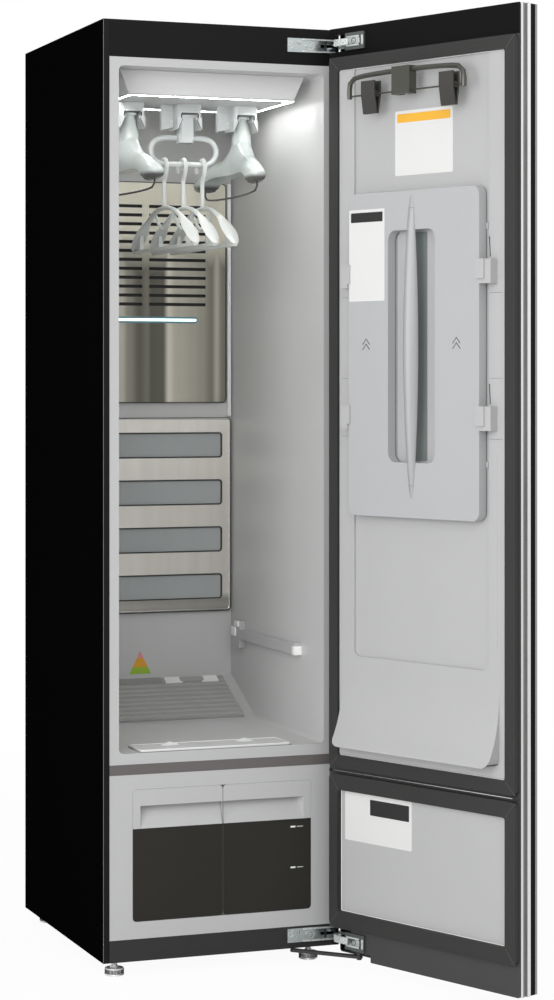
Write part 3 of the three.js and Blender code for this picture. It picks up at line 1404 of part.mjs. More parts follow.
hinge("top", topPocketLow + (pocket.height - hingePlate.height) / 2, topPocketLow, topPocketHigh);
hinge("bottom", stepZ + hingePlate.lowRise / 2, stepZ, lowPocketHigh);

// The perforated stay, pinned under the door and reaching below the base pan
const stayHolder = new THREE.Group();
stayHolder.position.set(stayX, doorY(-stay.pivotN), 0);
stayHolder.rotation.z = radians(stay.turn);
closedDoor.add(stayHolder);
const stayOutline = rounded(-stay.halfWidth, stay.length, -stay.halfWidth, stay.halfWidth, stay.halfWidth);
let stayBar = prism(stayOutline, "z", stayLow, stayTop).subtract(
  rod("z", 0, 0, stayPin.radius + stayPin.play, stayLow - overrun, stayTop + overrun),
);
for (let hole = 1; hole <= stay.holes; hole += 1) {
  const x = (stay.length * hole) / (stay.holes + 1);
  stayBar = stayBar.subtract(rod("z", x, 0, stay.hole, stayLow - overrun, stayTop + overrun));
}
piece("door_stay", stayBar, blackSheet, stayHolder);

export default group;
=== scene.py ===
# Looks for a tall clothes care steam cabinet with its door open. Metres, +Z up, the frame of the CAD part.
import json
import math

import bmesh
import bpy
from mathutils import Matrix, Vector
from mathutils.bvhtree import BVHTree


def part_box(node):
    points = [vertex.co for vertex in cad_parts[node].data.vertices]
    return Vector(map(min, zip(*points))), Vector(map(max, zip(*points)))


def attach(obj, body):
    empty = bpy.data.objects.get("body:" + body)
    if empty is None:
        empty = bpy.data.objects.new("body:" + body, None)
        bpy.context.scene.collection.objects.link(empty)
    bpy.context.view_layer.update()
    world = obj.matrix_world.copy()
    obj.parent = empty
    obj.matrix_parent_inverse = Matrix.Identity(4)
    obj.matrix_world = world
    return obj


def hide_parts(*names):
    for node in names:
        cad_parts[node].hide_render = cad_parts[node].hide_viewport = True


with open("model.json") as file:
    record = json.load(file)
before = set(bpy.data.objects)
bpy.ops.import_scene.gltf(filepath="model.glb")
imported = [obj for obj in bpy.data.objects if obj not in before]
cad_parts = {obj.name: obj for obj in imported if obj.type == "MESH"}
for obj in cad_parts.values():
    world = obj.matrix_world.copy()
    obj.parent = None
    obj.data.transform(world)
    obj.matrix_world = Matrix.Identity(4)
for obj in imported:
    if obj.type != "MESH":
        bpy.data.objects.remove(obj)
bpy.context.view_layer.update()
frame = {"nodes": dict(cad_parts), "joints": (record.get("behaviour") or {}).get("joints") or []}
nodes = frame["nodes"]

MM = 0.001


def new_object(name, data):
    obj = bpy.data.objects.new(name, data)
    bpy.context.scene.collection.objects.link(obj)
    return obj


# Camera at the photograph's viewpoint
CAMERA_PLACE = (-1714.734, -4921.536, 1138.577)
CAMERA_YAW = -0.349452
CAMERA_LENS = 89.506
CAMERA_SHIFT_ACROSS, CAMERA_SHIFT_UP = 0.065, -0.118
SENSOR = 36.0

camera_data = bpy.data.cameras.new("camera")
camera = new_object("camera", camera_data)
camera.location = [value * MM for value in CAMERA_PLACE]
camera.rotation_euler = (math.pi / 2, 0, CAMERA_YAW)
camera_data.sensor_width = SENSOR
camera_data.lens = CAMERA_LENS
camera_data.shift_x = CAMERA_SHIFT_ACROSS
camera_data.shift_y = CAMERA_SHIFT_UP
bpy.context.scene.camera = camera
bpy.context.scene.view_settings.view_transform = "Standard"

# Places, in millimetres: on the body, and on the door as if it were closed
hinge = next(joint for joint in frame["joints"] if joint["name"] == "door_hinge")
HINGE_FOOT = Vector((*hinge["pos_m"][:2], 0))
DOOR_OPEN = math.radians(-hinge["range_deg"][0])
OPENING, CLOSING = (Matrix.Rotation(angle, 3, "Z") for angle in (DOOR_OPEN, -DOOR_OPEN))
BODY_LEFT, BODY_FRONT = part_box("side_panel_left")[0][:2]
DOOR_GAP = 12 * MM


def door_point(across, inwards, up):
    """A point of the open door, from millimetres measured on the closed one."""
    closed = Vector((BODY_LEFT + across * MM, BODY_FRONT - DOOR_GAP + inwards * MM, up * MM))
    return OPENING @ (closed - HINGE_FOOT) + HINGE_FOOT


def closed_point(point):
    """The closed-door millimetres of a point of the open door."""
    back = CLOSING @ (point - HINGE_FOOT) + HINGE_FOOT
    return Vector((back.x - BODY_LEFT, back.y - BODY_FRONT + DOOR_GAP, back.z)) / MM


def body_point(across, inwards, up):
    """A point of the cabinet, from millimetres off its left edge, its front face and the pan's underside."""
    return Vector((BODY_LEFT + across * MM, BODY_FRONT + inwards * MM, up * MM))


def cabinet_point(point):
    """The millimetres of a point of the cabinet."""
    return Vector((point.x - BODY_LEFT, point.y - BODY_FRONT, point.z)) / MM


# What a piece is placed by, and the body that it rides on
CABINET = (body_point, "cabinet")
DOOR = (door_point, "door")
PRESS = (door_point, "press_plate")

# Node trees: the kind of a group's socket follows from its default value
SOCKET_KINDS = {float: "Float", int: "Int", tuple: "Vector", type(None): "Material"}


def spaced(label):
    return label.replace("_", " ")


def give_sockets(tree, direction, **sockets):
    """Adds named sockets to a group, each with its default value."""
    for label, value in sockets.items():
        kind = "NodeSocket" + SOCKET_KINDS[type(value)]
        socket = tree.interface.new_socket(name=spaced(label), in_out=direction, socket_type=kind)
        if value is not None:
            socket.default_value = value


def fill(tree, node, *numbered, **named):
    """Gives a node's inputs, by number or by name, sockets or plain values."""
    values = dict(enumerate(numbered))
    values.update((spaced(label), value) for label, value in named.items())
    for key, value in values.items():
        if isinstance(value, bpy.types.NodeSocket):
            tree.links.new(value, node.inputs[key])
        else:
            node.inputs[key].default_value = value


def add_node(tree, kind, *numbered, settings=None, **named):
    """A node with its settings, such as its operation, and its inputs."""
    node = tree.nodes.new(kind)
    for label, value in (settings or {}).items():
        setattr(node, label, value)
    fill(tree, node, *numbered, **named)
    return node


def calculated(tree, operation, *values):
    return add_node(tree, "ShaderNodeMath", *values, settings={"operation": operation}).outputs[0]


def object_place(tree):
    return add_node(tree, "ShaderNodeTexCoord").outputs["Object"]


def noise(tree, scale, place=None, stretch=None, detail=2.0):
    """Noise at a place, the object's own coordinates by default, stretched where asked."""
    place = place or object_place(tree)
    if stretch is not None:
        place = add_node(tree, "ShaderNodeMapping", Vector=place, Scale=stretch).outputs["Vector"]
    return add_node(tree, "ShaderNodeTexNoise", Vector=place, Scale=scale, Detail=detail).outputs["Fac"]


def mixed_colour(tree, low, high, factor):
    """A colour that goes from low to high, each a colour or a socket, with a factor."""
    ends = [end if isinstance(end, bpy.types.NodeSocket) else (*end, 1) for end in (low, high)]
    settings = {"data_type": "RGBA"}
    mixer = add_node(tree, "ShaderNodeMix", settings=settings, A=ends[0], B=ends[1], Factor=factor)
    return mixer.outputs["Result"]


def remapped(tree, value, low, high, start=0.0, end=1.0):
    """A value moved from the range start to end to the range low to high."""
    ranges = {"From_Min": start, "From_Max": end, "To_Min": low, "To_Max": high}
    return add_node(tree, "ShaderNodeMapRange", Value=value, **ranges).outputs["Result"]


def across_share(tree, axis, low, high):
    """How far a point lies between two places on an axis of the object's own coordinates, from 0 to 1."""
    parts = add_node(tree, "ShaderNodeSeparateXYZ", Vector=object_place(tree))
    return remapped(tree, parts.outputs[axis], 0.0, 1.0, low, high)


# Finishes
BUMP_HEIGHT = 0.2 * MM
NOISE_LOW, NOISE_HIGH = 0.3, 0.7
LENGTHWISE = (1, 1, 0.02)


def make_grain_group():
    """Fine moulded or painted texture with slow clouding: shade, and height for a bump."""
    tree = bpy.data.node_groups.new("fine_grain", "ShaderNodeTree")
    give_sockets(tree, "INPUT", Scale=900.0, Stretch=(1.0, 1.0, 1.0), Cloud_scale=5.0)
    give_sockets(tree, "OUTPUT", Height=0.0, Cloud=0.0)
    given = add_node(tree, "NodeGroupInput").outputs
    place = object_place(tree)
    fine = noise(tree, given["Scale"], place, given["Stretch"])
    cloud = noise(tree, given["Cloud scale"], place, detail=3.0)
    add_node(tree, "NodeGroupOutput", Height=fine, Cloud=cloud)
    return tree


GRAIN = make_grain_group()


def new_material(name):
    """A material, its tree and its surface node."""
    material = bpy.data.materials.new(name)
    material.use_nodes = True
    return material, material.node_tree, material.node_tree.nodes["Principled BSDF"]


def scaled(colour, share):
    return tuple(channel * share for channel in colour)


def finish(
    name, colour, roughness, metal=0.0, clouding=0.06, scale=900.0, depth=0.1, stretch=(1, 1, 1),
    specular=0.5, coat=0.0,
):
    """A material with grain, clouding and its own Principled values."""
    material, tree, surface = new_material(name)
    settings = {"node_tree": GRAIN}
    grain = add_node(tree, "ShaderNodeGroup", settings=settings, Scale=scale, Stretch=stretch).outputs
    shade = mixed_colour(tree, scaled(colour, 1 - clouding), scaled(colour, 1 + clouding), grain["Cloud"])
    spread = roughness * clouding * 2
    rough = remapped(tree, grain["Height"], roughness - spread, roughness + spread, NOISE_LOW, NOISE_HIGH)
    bump = add_node(tree, "ShaderNodeBump", Strength=depth, Distance=BUMP_HEIGHT, Height=grain["Height"])
    fill(
        tree, surface, Base_Color=shade, Roughness=rough, Metallic=metal, Normal=bump.outputs["Normal"],
        Specular_IOR_Level=specular, Coat_Weight=coat,
    )
    return material


BLACK_SHEET = finish("black_sheet", (0.0017, 0.0017, 0.0017), 0.6, specular=0.0)
RAIL_SHEET = finish("rail_sheet", (0.0055, 0.0055, 0.0055), 0.45, depth=0.15, specular=0.11)
FLANGE_SHEET = finish("flange_sheet", (0.004, 0.004, 0.004), 0.42, depth=0.12, specular=0.16)
PLINTH_SHEET = finish("plinth_sheet", (0.024, 0.024, 0.025), 0.4, depth=0.12, specular=0.25)
MID_SHEET = finish("mid_sheet", (0.112, 0.101, 0.101), 0.4, depth=0.12, specular=0.4)
DARK_SHEET = finish("dark_sheet", (0.02, 0.02, 0.021), 0.5, depth=0.15)
BLACK_BAND = finish("black_band", (0.0035, 0.0035, 0.0035), 0.35, clouding=0.03, specular=0.08)
DOOR_GREY = finish("door_grey", (0.05, 0.05, 0.051), 0.45, depth=0.12, specular=0.3)
FRONT_GLASS = finish("front_glass", (0.006, 0.006, 0.007), 0.12, clouding=0.02, depth=0.0, coat=0.5)

MOULDING = finish("pale_moulding", (0.43, 0.431, 0.434), 0.42, clouding=0.03, scale=1400.0, depth=0.12)
INNER_MOULDING = finish("inner_moulding", (0.52, 0.524, 0.52), 0.4, clouding=0.03, scale=1400.0)
HOUSING_MOULDING = finish("housing_moulding", (0.6, 0.6, 0.6), 0.42, clouding=0.03, scale=1400.0)
WHITE_MOULDING = finish("white_moulding", (0.8, 0.81, 0.8), 0.35, clouding=0.02, scale=1400.0, depth=0.08)
PRESS_PLATE = finish(
    "press_plate", (0.418, 0.425, 0.434), 0.45, clouding=0.03, scale=1400.0, depth=0.08, specular=0.3,
)
TRAY_MOULDING = finish("tray_moulding", (0.33, 0.336, 0.326), 0.45, clouding=0.04, scale=1200.0)
TRAY_DARK = finish("tray_dark", (0.26, 0.27, 0.26), 0.45, clouding=0.05)
HATCH_MOULDING = finish("hatch_moulding", (0.66, 0.665, 0.66), 0.4, clouding=0.03)
NOZZLE_MOULDING = finish("nozzle_moulding", (0.6, 0.625, 0.625), 0.22, clouding=0.03, depth=0.04, coat=0.3)
MINT_GLOSS = finish("mint_gloss", (0.52, 0.565, 0.553), 0.24, clouding=0.03, depth=0.03, coat=0.35)
HANGER_WHITE = finish("hanger_white", (0.63, 0.65, 0.63), 0.36, clouding=0.02, depth=0.04, coat=0.2)
HANDLE_GLOSS = finish("handle_gloss", (0.325, 0.334, 0.34), 0.34, clouding=0.02, depth=0.03, coat=0.12)
# Darker grey for the slot floor beside the bow: painted shadow of the bow
BOW_SHADOW_GREY = finish("bow_shadow_grey", (0.16, 0.185, 0.18), 0.4, clouding=0.05)

NICKEL = finish("nickel_grey", (0.082, 0.082, 0.07), 0.35, metal=0.6, clouding=0.08)
NICKEL_BRIGHT = finish("nickel_bright", (0.3, 0.3, 0.27), 0.3, metal=0.7, clouding=0.08)
ZINC = finish("zinc", (0.52, 0.565, 0.57), 0.22, metal=1.0, clouding=0.12, scale=300.0, depth=0.2)
ZINC_PALE = finish("zinc_pale", (0.62, 0.65, 0.63), 0.3, metal=0.45, clouding=0.1, scale=300.0, depth=0.15)
# Zinc of the hinges' door arms, darkened as painted shade so they look like a shadowed base
ARM_ZINC_SHADED = finish("arm_zinc_painted_shade", (0.13, 0.14, 0.14), 0.35, metal=0.7, clouding=0.1)
FOOT_STEEL = finish("foot_steel", (0.72, 0.73, 0.74), 0.26, metal=0.45, clouding=0.05, depth=0.05)
CHROME = finish("chrome", (0.8, 0.8, 0.8), 0.12, metal=1.0, clouding=0.05, depth=0.05)
BRUSHED_TRIM = finish("brushed_trim", (0.75, 0.75, 0.75), 0.25, metal=1.0, stretch=LENGTHWISE, depth=0.2)
DARK_TRIM = finish(
    "dark_trim", (0.3, 0.294, 0.288), 0.4, metal=0.5, clouding=0.2, stretch=LENGTHWISE, depth=0.2,
)
EDGE_SILVER = finish("edge_silver", (0.86, 0.86, 0.86), 0.3, metal=0.6, clouding=0.03, stretch=LENGTHWISE)
FINS = finish("fin_aluminium", (0.7, 0.7, 0.72), 0.35, metal=1.0, stretch=(40, 1, 1), depth=0.3)

RUBBER = finish(
    "gasket_rubber", (0.031, 0.0305, 0.03), 0.55, clouding=0.08, scale=700.0, depth=0.15, specular=0.25,
)
# Lighter copy of the gasket rubber: a painted highlight on its ridges
RUBBER_HIGHLIGHT = finish(
    "gasket_ridge_highlight", (0.043, 0.0422, 0.041), 0.5, clouding=0.08, scale=700.0, depth=0.15, specular=0.25,
)
SEAL = finish("black_seal", (0.008, 0.008, 0.008), 0.5, clouding=0.1)
SMOKED = finish("smoked_plastic", (0.021, 0.02, 0.017), 0.2, clouding=0.15, depth=0.02, specular=0.15)
CLIP_DARK = finish("clip_dark", (0.035, 0.033, 0.03), 0.4, clouding=0.1)
# Grey for the front glass's chamfered edge: a painted highlight
GLASS_EDGE_HIGHLIGHT = finish("glass_edge_highlight", (0.3, 0.3, 0.3), 0.4, clouding=0.04)
FLEECE = finish("filter_fleece", (0.38, 0.4, 0.4), 0.8, clouding=0.1, scale=1200.0, depth=0.6)
MACHINE = finish("machine_grey", (0.2, 0.21, 0.22), 0.5, clouding=0.1, depth=0.2)
PAPER = finish("label_paper", (0.68, 0.68, 0.67), 0.5, clouding=0.02, depth=0.05)
AMBER = finish("label_amber", (0.8, 0.42, 0.035), 0.5, clouding=0.03, depth=0.05)
INK = finish("label_ink", (0.012, 0.012, 0.012), 0.5, clouding=0.05, depth=0.05)
MARK_GREY = finish("mark_grey", (0.16, 0.17, 0.19), 0.5, clouding=0.05, depth=0.05)
CHEVRON_INK = finish("chevron_ink", (0.06, 0.065, 0.085), 0.45, clouding=0.05)
# Painted cyan glow of the light bar, on a plate round it
PAINTED_CYAN_GLOW = finish("painted_cyan_glow", (0.16, 0.3, 0.33), 0.3, metal=0.4, clouding=0.05)
PATCH_GREEN = finish("patch_green", (0.3, 0.5, 0.03), 0.5, clouding=0.04)
PATCH_ORANGE = finish("patch_orange", (0.75, 0.35, 0.02), 0.5, clouding=0.04)
PATCH_PINK = finish("patch_pink", (0.75, 0.25, 0.28), 0.5, clouding=0.04)

# Brushed steel with painted reflections: its bands are shares of the plate's length and of its light colour
UPPER_REFLECTION_BANDS = (
    (0.0, 0.55), (0.4, 0.62), (0.44, 0.3), (0.5, 0.1), (0.545, 0.2), (0.57, 0.08), (0.635, 0.1),
    (0.668, 0.85), (0.71, 0.62), (0.8, 0.5), (0.86, 0.42), (0.915, 0.24), (0.945, 0.6), (0.975, 0.26),
    (1.0, 0.2),
)
# The grille plate's bands are painted reflections, darker towards the bottom
GRILLE_REFLECTION_BANDS = ((0.0, 0.22), (0.03, 0.34), (0.06, 0.3), (0.1, 0.74), (0.5, 0.8), (0.9, 0.95), (1.0, 1.0))
PAINTED_LIGHT_SPREAD_SHARE = 0.18
STREAK_SCALE, STREAK_LOW, STREAK_HIGH = 40.0, 0.94, 1.06
RIPPLE_SCALE, RIPPLE_SHARE = 60.0, 0.96


def banded_steel(name, node, axis, dark, light, bands, painted_light_from=1.0, painted_light_level=0.0):
    """Brushed steel with painted reflections in bands along an axis.

    From a given share of its height, a painted light makes the plate grow bright, whatever its bands say."""
    material = finish(
        name, light, 0.34, metal=0.45, clouding=0.03, scale=260.0, depth=0.05, stretch=(0.05, 1, 1),
    )
    tree = material.node_tree
    low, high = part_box(node)
    ends = (getattr(corner, axis.lower()) for corner in (low, high))
    ramp = add_node(tree, "ShaderNodeValToRGB", Fac=across_share(tree, axis, *ends))
    ramp.color_ramp.interpolation = "EASE"
    stops = ramp.color_ramp.elements
    for number, (share, level) in enumerate(bands):
        stop = stops[number] if number < 2 else stops.new(share)
        stop.position = share
        stop.color = (level, level, level, 1)
    streaks = noise(tree, STREAK_SCALE, stretch=LENGTHWISE)
    streaks = remapped(tree, streaks, STREAK_LOW, STREAK_HIGH, NOISE_LOW, NOISE_HIGH)
    painted_reflection = calculated(tree, "MULTIPLY", ramp.outputs["Color"], streaks)
    # Painted light over the plate's top part
    shares = (painted_light_from, painted_light_from + PAINTED_LIGHT_SPREAD_SHARE)
    painted_light = across_share(tree, "Z", *(low.z + (high.z - low.z) * share for share in shares))
    level = calculated(tree, "MAXIMUM", painted_reflection, remapped(tree, painted_light, 0.0, painted_light_level))
    fill(tree, tree.nodes["Principled BSDF"], Base_Color=mixed_colour(tree, dark, light, level))
    return material


# The upper plate: painted reflections in its bands, and painted light over its top part
UPPER_STEEL = banded_steel(
    "upper_steel", "upper_back_plate", "X", (0.052, 0.052, 0.039), (0.79, 0.755, 0.64), UPPER_REFLECTION_BANDS,
    painted_light_from=0.57, painted_light_level=0.96,
)
LOWER_STEEL = banded_steel(
    "lower_steel", "lower_grille_plate", "Z", (0.1, 0.095, 0.08), (0.82, 0.79, 0.73), GRILLE_REFLECTION_BANDS,
)


def glow(name, colour, strength):
    """A lit surface with a faint ripple."""
    material, tree, surface = new_material(name)
    shade = mixed_colour(tree, scaled(colour, RIPPLE_SHARE), colour, noise(tree, RIPPLE_SCALE))
    fill(tree, surface, Base_Color=(*colour, 1), Emission_Strength=strength, Emission_Color=shade)
    return material


def two_levels(material, low_colour, axis, low, high):
    """Gives a material another colour below a place on an axis, over the span from low to high in metres."""
    tree = material.node_tree
    surface = tree.nodes["Principled BSDF"]
    upper = surface.inputs["Base Color"].links[0].from_socket
    shade = mixed_colour(tree, low_colour, upper, across_share(tree, axis, low, high))
    fill(tree, surface, Base_Color=shade)


# The air hangers' wires are dark below their moulding, and the chamber's front rim is greyer
WIRE_DARK, WIRE_TOP, MOULDING_FOOT = (0.07, 0.071, 0.068), 1.553, 1.561
RIM_GREY, RIM_FRONT, RIM_BACK = (0.43, 0.432, 0.434), 0.001, 0.006
two_levels(MINT_GLOSS, WIRE_DARK, "Z", WIRE_TOP, MOULDING_FOOT)
two_levels(INNER_MOULDING, RIM_GREY, "Y", BODY_FRONT + RIM_FRONT, BODY_FRONT + RIM_BACK)
LAMP_GLOW = glow("lamp_glow", (1.0, 1.0, 0.98), 70.0)
BAR_GLOW = glow("bar_glow", (0.75, 0.95, 1.0), 2.2)


# Geometry node trees
SHARP_ANGLE = math.radians(35)


class TreeMaker:
    """A geometry node tree under construction, with named inputs."""

    def __init__(self, name, **inputs):
        self.tree = bpy.data.node_groups.new(name, "GeometryNodeTree")
        for direction, sockets in (("INPUT", inputs), ("OUTPUT", {})):
            kind = "NodeSocketGeometry"
            self.tree.interface.new_socket(name="Geometry", in_out=direction, socket_type=kind)
            give_sockets(self.tree, direction, **sockets)
        self.given = self.tree.nodes.new("NodeGroupInput").outputs

    def node(self, kind, *numbered, **named):
        """The first output of a new node."""
        return add_node(self.tree, kind, *numbered, **named).outputs[0]

    def copies(self, points, instance, **more):
        """Copies of a shape on points, made real."""
        spread = self.node("GeometryNodeInstanceOnPoints", Points=points, Instance=instance, **more)
        return self.node("GeometryNodeRealizeInstances", Geometry=spread)

    def on_carrier(self, instance, **more):
        """Copies of a shape on every point of the carrier, made real."""
        points = self.node("GeometryNodeMeshToPoints", Mesh=self.given["Geometry"])
        return self.copies(points, instance, **more)

    def finished(self, geometry, label="Finish"):
        """Geometry with the finish that an input of the tree names."""
        return self.node("GeometryNodeSetMaterial", Geometry=geometry, Material=self.given[label])

    def close(self, geometry):
        add_node(self.tree, "NodeGroupOutput", Geometry=geometry)
        return self.tree


def joined_and_smoothed_tree():
    """Joins a mesh's loose triangles, and shades it smooth up to an angle."""
    maker = TreeMaker("joined_and_smoothed", Angle=SHARP_ANGLE)
    weld = maker.node("GeometryNodeMergeByDistance", Geometry=maker.given["Geometry"], Distance=0.01 * MM)
    smooth = maker.node("GeometryNodeSetShadeSmooth", Geometry=weld)
    angle = maker.node("GeometryNodeInputMeshEdgeAngle")
    sharp = maker.node(
        "FunctionNodeCompare", settings={"operation": "GREATER_THAN"}, A=angle, B=maker.given["Angle"],
    )
    return maker.close(maker.node(
        "GeometryNodeSetShadeSmooth", settings={"domain": "EDGE"}, Geometry=smooth, Selection=sharp,
        Shade_Smooth=False,
    ))


def bead_tree():
    """A round bead, as wide and as high as asked, along the edges of the carrier."""
    maker = TreeMaker("bead_along_path", Width=1.0, Height=1.0, Sides=8, Finish=None)
    given = maker.given
    path = maker.node("GeometryNodeMeshToCurve", Mesh=given["Geometry"])
    level = maker.node("GeometryNodeSetCurveNormal", Curve=path)
    section = maker.node("GeometryNodeCurvePrimitiveCircle", Resolution=given["Sides"], Radius=0.5)
    size = maker.node("ShaderNodeCombineXYZ", X=given["Width"], Y=given["Height"], Z=1.0)
    sized = maker.node("GeometryNodeTransform", Geometry=section, Scale=size)
    bead = maker.node("GeometryNodeCurveToMesh", Curve=level, Profile_Curve=sized, Fill_Caps=True)
    return maker.close(maker.finished(bead))


HEAD_SIDES, HEAD_TOP_SHARE = 20, 0.72
RECESS_SHARES, RECESS_HIGH = (1.0, 0.26), 0.3


def heads_tree():
    """A domed screw or rivet head with a crossed recess, on every point of the carrier."""
    maker = TreeMaker(
        "heads_on_points", Radius=3.0, Height=1.5, Turn=(0.0, 0.0, 0.0), Recess=1.0, Finish=None,
        Recess_finish=None,
    )
    given = maker.given
    head = maker.node(
        "GeometryNodeMeshCone", settings={"fill_type": "NGON"}, Vertices=HEAD_SIDES, Depth=given["Height"],
        Radius_Top=calculated(maker.tree, "MULTIPLY", given["Radius"], HEAD_TOP_SHARE),
        Radius_Bottom=given["Radius"],
    )
    parts = [maker.finished(head)]
    top = maker.node("ShaderNodeCombineXYZ", Z=given["Height"])
    reach = calculated(maker.tree, "MULTIPLY", given["Radius"], given["Recess"])
    for shares in (RECESS_SHARES, RECESS_SHARES[::-1]):
        wide, deep = (calculated(maker.tree, "MULTIPLY", reach, share) for share in shares)
        size = maker.node("ShaderNodeCombineXYZ", X=wide, Y=deep, Z=RECESS_HIGH)
        bar = maker.node("GeometryNodeMeshCube", Size=size)
        lifted = maker.node("GeometryNodeTransform", Geometry=bar, Translation=top)
        parts.append(maker.finished(lifted, "Recess finish"))
    whole = add_node(maker.tree, "GeometryNodeJoinGeometry")
    for part in parts:
        maker.tree.links.new(part, whole.inputs[0])
    return maker.close(maker.on_carrier(whole.outputs[0], Rotation=given["Turn"]))


def rows_tree():
    """Bars of one size, in a row of so many steps from every point of the carrier."""
    maker = TreeMaker("bars_in_a_row", Count=4, Step=(10.0, 0.0, 0.0), Size=(1.0, 1.0, 1.0), Finish=None)
    row = maker.node("GeometryNodeMeshLine", Count=maker.given["Count"], Offset=maker.given["Step"])
    bar = maker.node("GeometryNodeMeshCube", Size=maker.given["Size"])
    return maker.close(maker.finished(maker.on_carrier(maker.copies(row, bar))))


def knurl_tree():
    """Small upright ribs round a ring, about every point of the carrier."""
    maker = TreeMaker("knurled_ring", Count=36, Radius=18.0, Size=(1.0, 1.0, 1.0), Finish=None)
    given = maker.given
    ring = maker.node("GeometryNodeMeshCircle", Vertices=given["Count"], Radius=given["Radius"])
    rib = maker.node("GeometryNodeMeshCube", Size=given["Size"])
    place = maker.node("GeometryNodeInputPosition")
    facing = maker.node("FunctionNodeAlignRotationToVector", settings={"axis": "X"}, Vector=place)
    return maker.close(maker.finished(maker.on_carrier(maker.copies(ring, rib, Rotation=facing))))


ROUNDING = joined_and_smoothed_tree()
BEAD = bead_tree()
HEADS = heads_tree()
ROWS = rows_tree()
KNURL = knurl_tree()
BEAD_SIDES = 6


# Outlines and paths, drawn in millimetres
def mix(low, high, share):
    return low + (high - low) * share


def box_outline(left, right, low, high):
    return [(left, low), (right, low), (right, high), (left, high)]


def rounded_outline(left, right, low, high, radius, steps=5):
    """A rectangle's outline with round corners."""
    outline = []
    corners = [(right - radius, low + radius, -90), (right - radius, high - radius, 0)]
    corners += [(left + radius, high - radius, 90), (left + radius, low + radius, 180)]
    for across, up, start in corners:
        for step in range(steps + 1):
            angle = math.radians(start + 90 * step / steps)
            outline.append((across + radius * math.cos(angle), up + radius * math.sin(angle)))
    return outline


def inset_outline(box, inset, radius, steps=5, up=2):
    """The round-cornered outline of a box's two corners, set in. The number of its upright axis is up."""
    low, high = box
    return rounded_outline(low.x + inset, high.x - inset, low[up] + inset, high[up] - inset, radius, steps)


def ellipse(across, up, half_across, half_up, count):
    angles = [math.tau * k / count for k in range(count)]
    return [(across + half_across * math.cos(angle), up + half_up * math.sin(angle)) for angle in angles]


def facing_front(point, depth):
    return (point[0], depth, point[1])


def facing_up(point, depth):
    return (point[0], point[1], depth)


def facing_side(point, depth):
    return (depth, point[0], point[1])


def framed(outline, depth, facing=facing_front):
    return [facing(point, depth) for point in outline]


def loops(*outlines, closed=True):
    """Vertices and edges of closed outlines, or of open lines where closed is False."""
    vertices, edges = [], []
    for outline in outlines:
        start, count = len(vertices), len(outline)
        vertices += outline
        edges += [(start + k, start + (k + 1) % count) for k in range(count if closed else count - 1)]
    return vertices, edges


def strokes(*lines):
    """Vertices and edges of open lines."""
    return loops(*lines, closed=False)


# Solid shapes
def loft(shape, rings, capped=True):
    """Skins rings of equally many points in a row, and closes it with caps or back to the first ring."""
    rows = [[shape.verts.new(point) for point in ring] for ring in rings]
    count = len(rows[0])
    following = rows[1:] if capped else rows[1:] + rows[:1]
    for low, high in zip(rows, following):
        for k in range(count):
            shape.faces.new((low[k], low[(k + 1) % count], high[(k + 1) % count], high[k]))
    if capped:
        shape.faces.new(rows[0][::-1])
        shape.faces.new(rows[-1])


# How far the rings of a rounded edge are set in and pushed back, as shares of its width
EDGE_SHARES = ((1.0, 0.0), (0.3, 0.3), (0.0, 1.0))


def slab(shape, outline, near, far, facing=facing_front, edge=0.0):
    """An outline pushed between two depths, its near edge rounded by edge."""
    rings = []
    count = len(outline)
    centre = [sum(point[k] for point in outline) / count for k in (0, 1)]
    step = math.copysign(edge, far - near)
    for inset, deep in EDGE_SHARES if edge else ((0.0, 0.0),):
        ring = []
        for point in outline:
            share = 1 - edge * inset / (math.dist(point, centre) or 1.0)
            ring.append([mix(centre[k], point[k], share) for k in (0, 1)])
        rings.append(framed(ring, near + step * deep, facing))
    rings.append(framed(outline, far, facing))
    loft(shape, rings)


def ring_slab(shape, outer, inner, near, far, facing=facing_front):
    """A flat ring between two outlines of equally many points."""
    corners = ((outer, near), (outer, far), (inner, far), (inner, near))
    loft(shape, [framed(outline, depth, facing) for outline, depth in corners], capped=False)


# Pieces: a mount is what places them and the body that they ride on
def make_piece(name, shape, mount, slot, *materials, smooth=35):
    """Turns a shape into a piece of the scene that rides on a body."""
    place, body = mount
    for vertex in shape.verts:
        vertex.co = place(*vertex.co)
    bmesh.ops.remove_doubles(shape, verts=shape.verts, dist=0.001 * MM)
    bmesh.ops.recalc_face_normals(shape, faces=shape.faces)
    for face in shape.faces:
        face.smooth = True
    limit = math.radians(smooth)
    for edge in shape.edges:
        edge.smooth = edge.is_manifold and edge.calc_face_angle(math.pi) < limit
    mesh = bpy.data.meshes.new(name)
    shape.to_mesh(mesh)
    shape.free()
    obj = new_object(name, mesh)
    for material in materials:
        mesh.materials.append(material)
    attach(obj, body)
    return obj


def grown(name, tree, carrier, mount, slot, **inputs):
    """A piece that a tree grows on a carrier's vertices and edges, made a plain mesh at its place."""
    path = bpy.data.meshes.new(name + "_carrier")
    path.from_pydata(*carrier, [])
    holder = new_object(name + "_carrier", path)
    modifier = holder.modifiers.new(tree.name, "NODES")
    modifier.node_group = tree
    sockets = {item.name: item.identifier for item in tree.interface.items_tree if item.in_out == "INPUT"}
    for label, value in inputs.items():
        modifier[sockets[spaced(label)]] = value
    bpy.context.view_layer.update()
    evaluated = holder.evaluated_get(bpy.context.evaluated_depsgraph_get())
    mesh = bpy.data.meshes.new_from_object(evaluated)
    bpy.data.objects.remove(holder)
    shape = bmesh.new()
    shape.from_mesh(mesh)
    return make_piece(name, shape, mount, slot, *mesh.materials)


def beads(name, carrier, thickness, material, mount, slot):
    """Round beads along a carrier's lines."""
    sizes = {"Width": thickness, "Height": thickness, "Sides": BEAD_SIDES}
    return grown(name, BEAD, carrier, mount, slot, **sizes, Finish=material)


def plate(name, outline, near, far, material, mount, slot, facing=facing_front, edge=0.0):
    shape = bmesh.new()
    slab(shape, outline, near, far, facing, edge)
    return make_piece(name, shape, mount, slot, material)


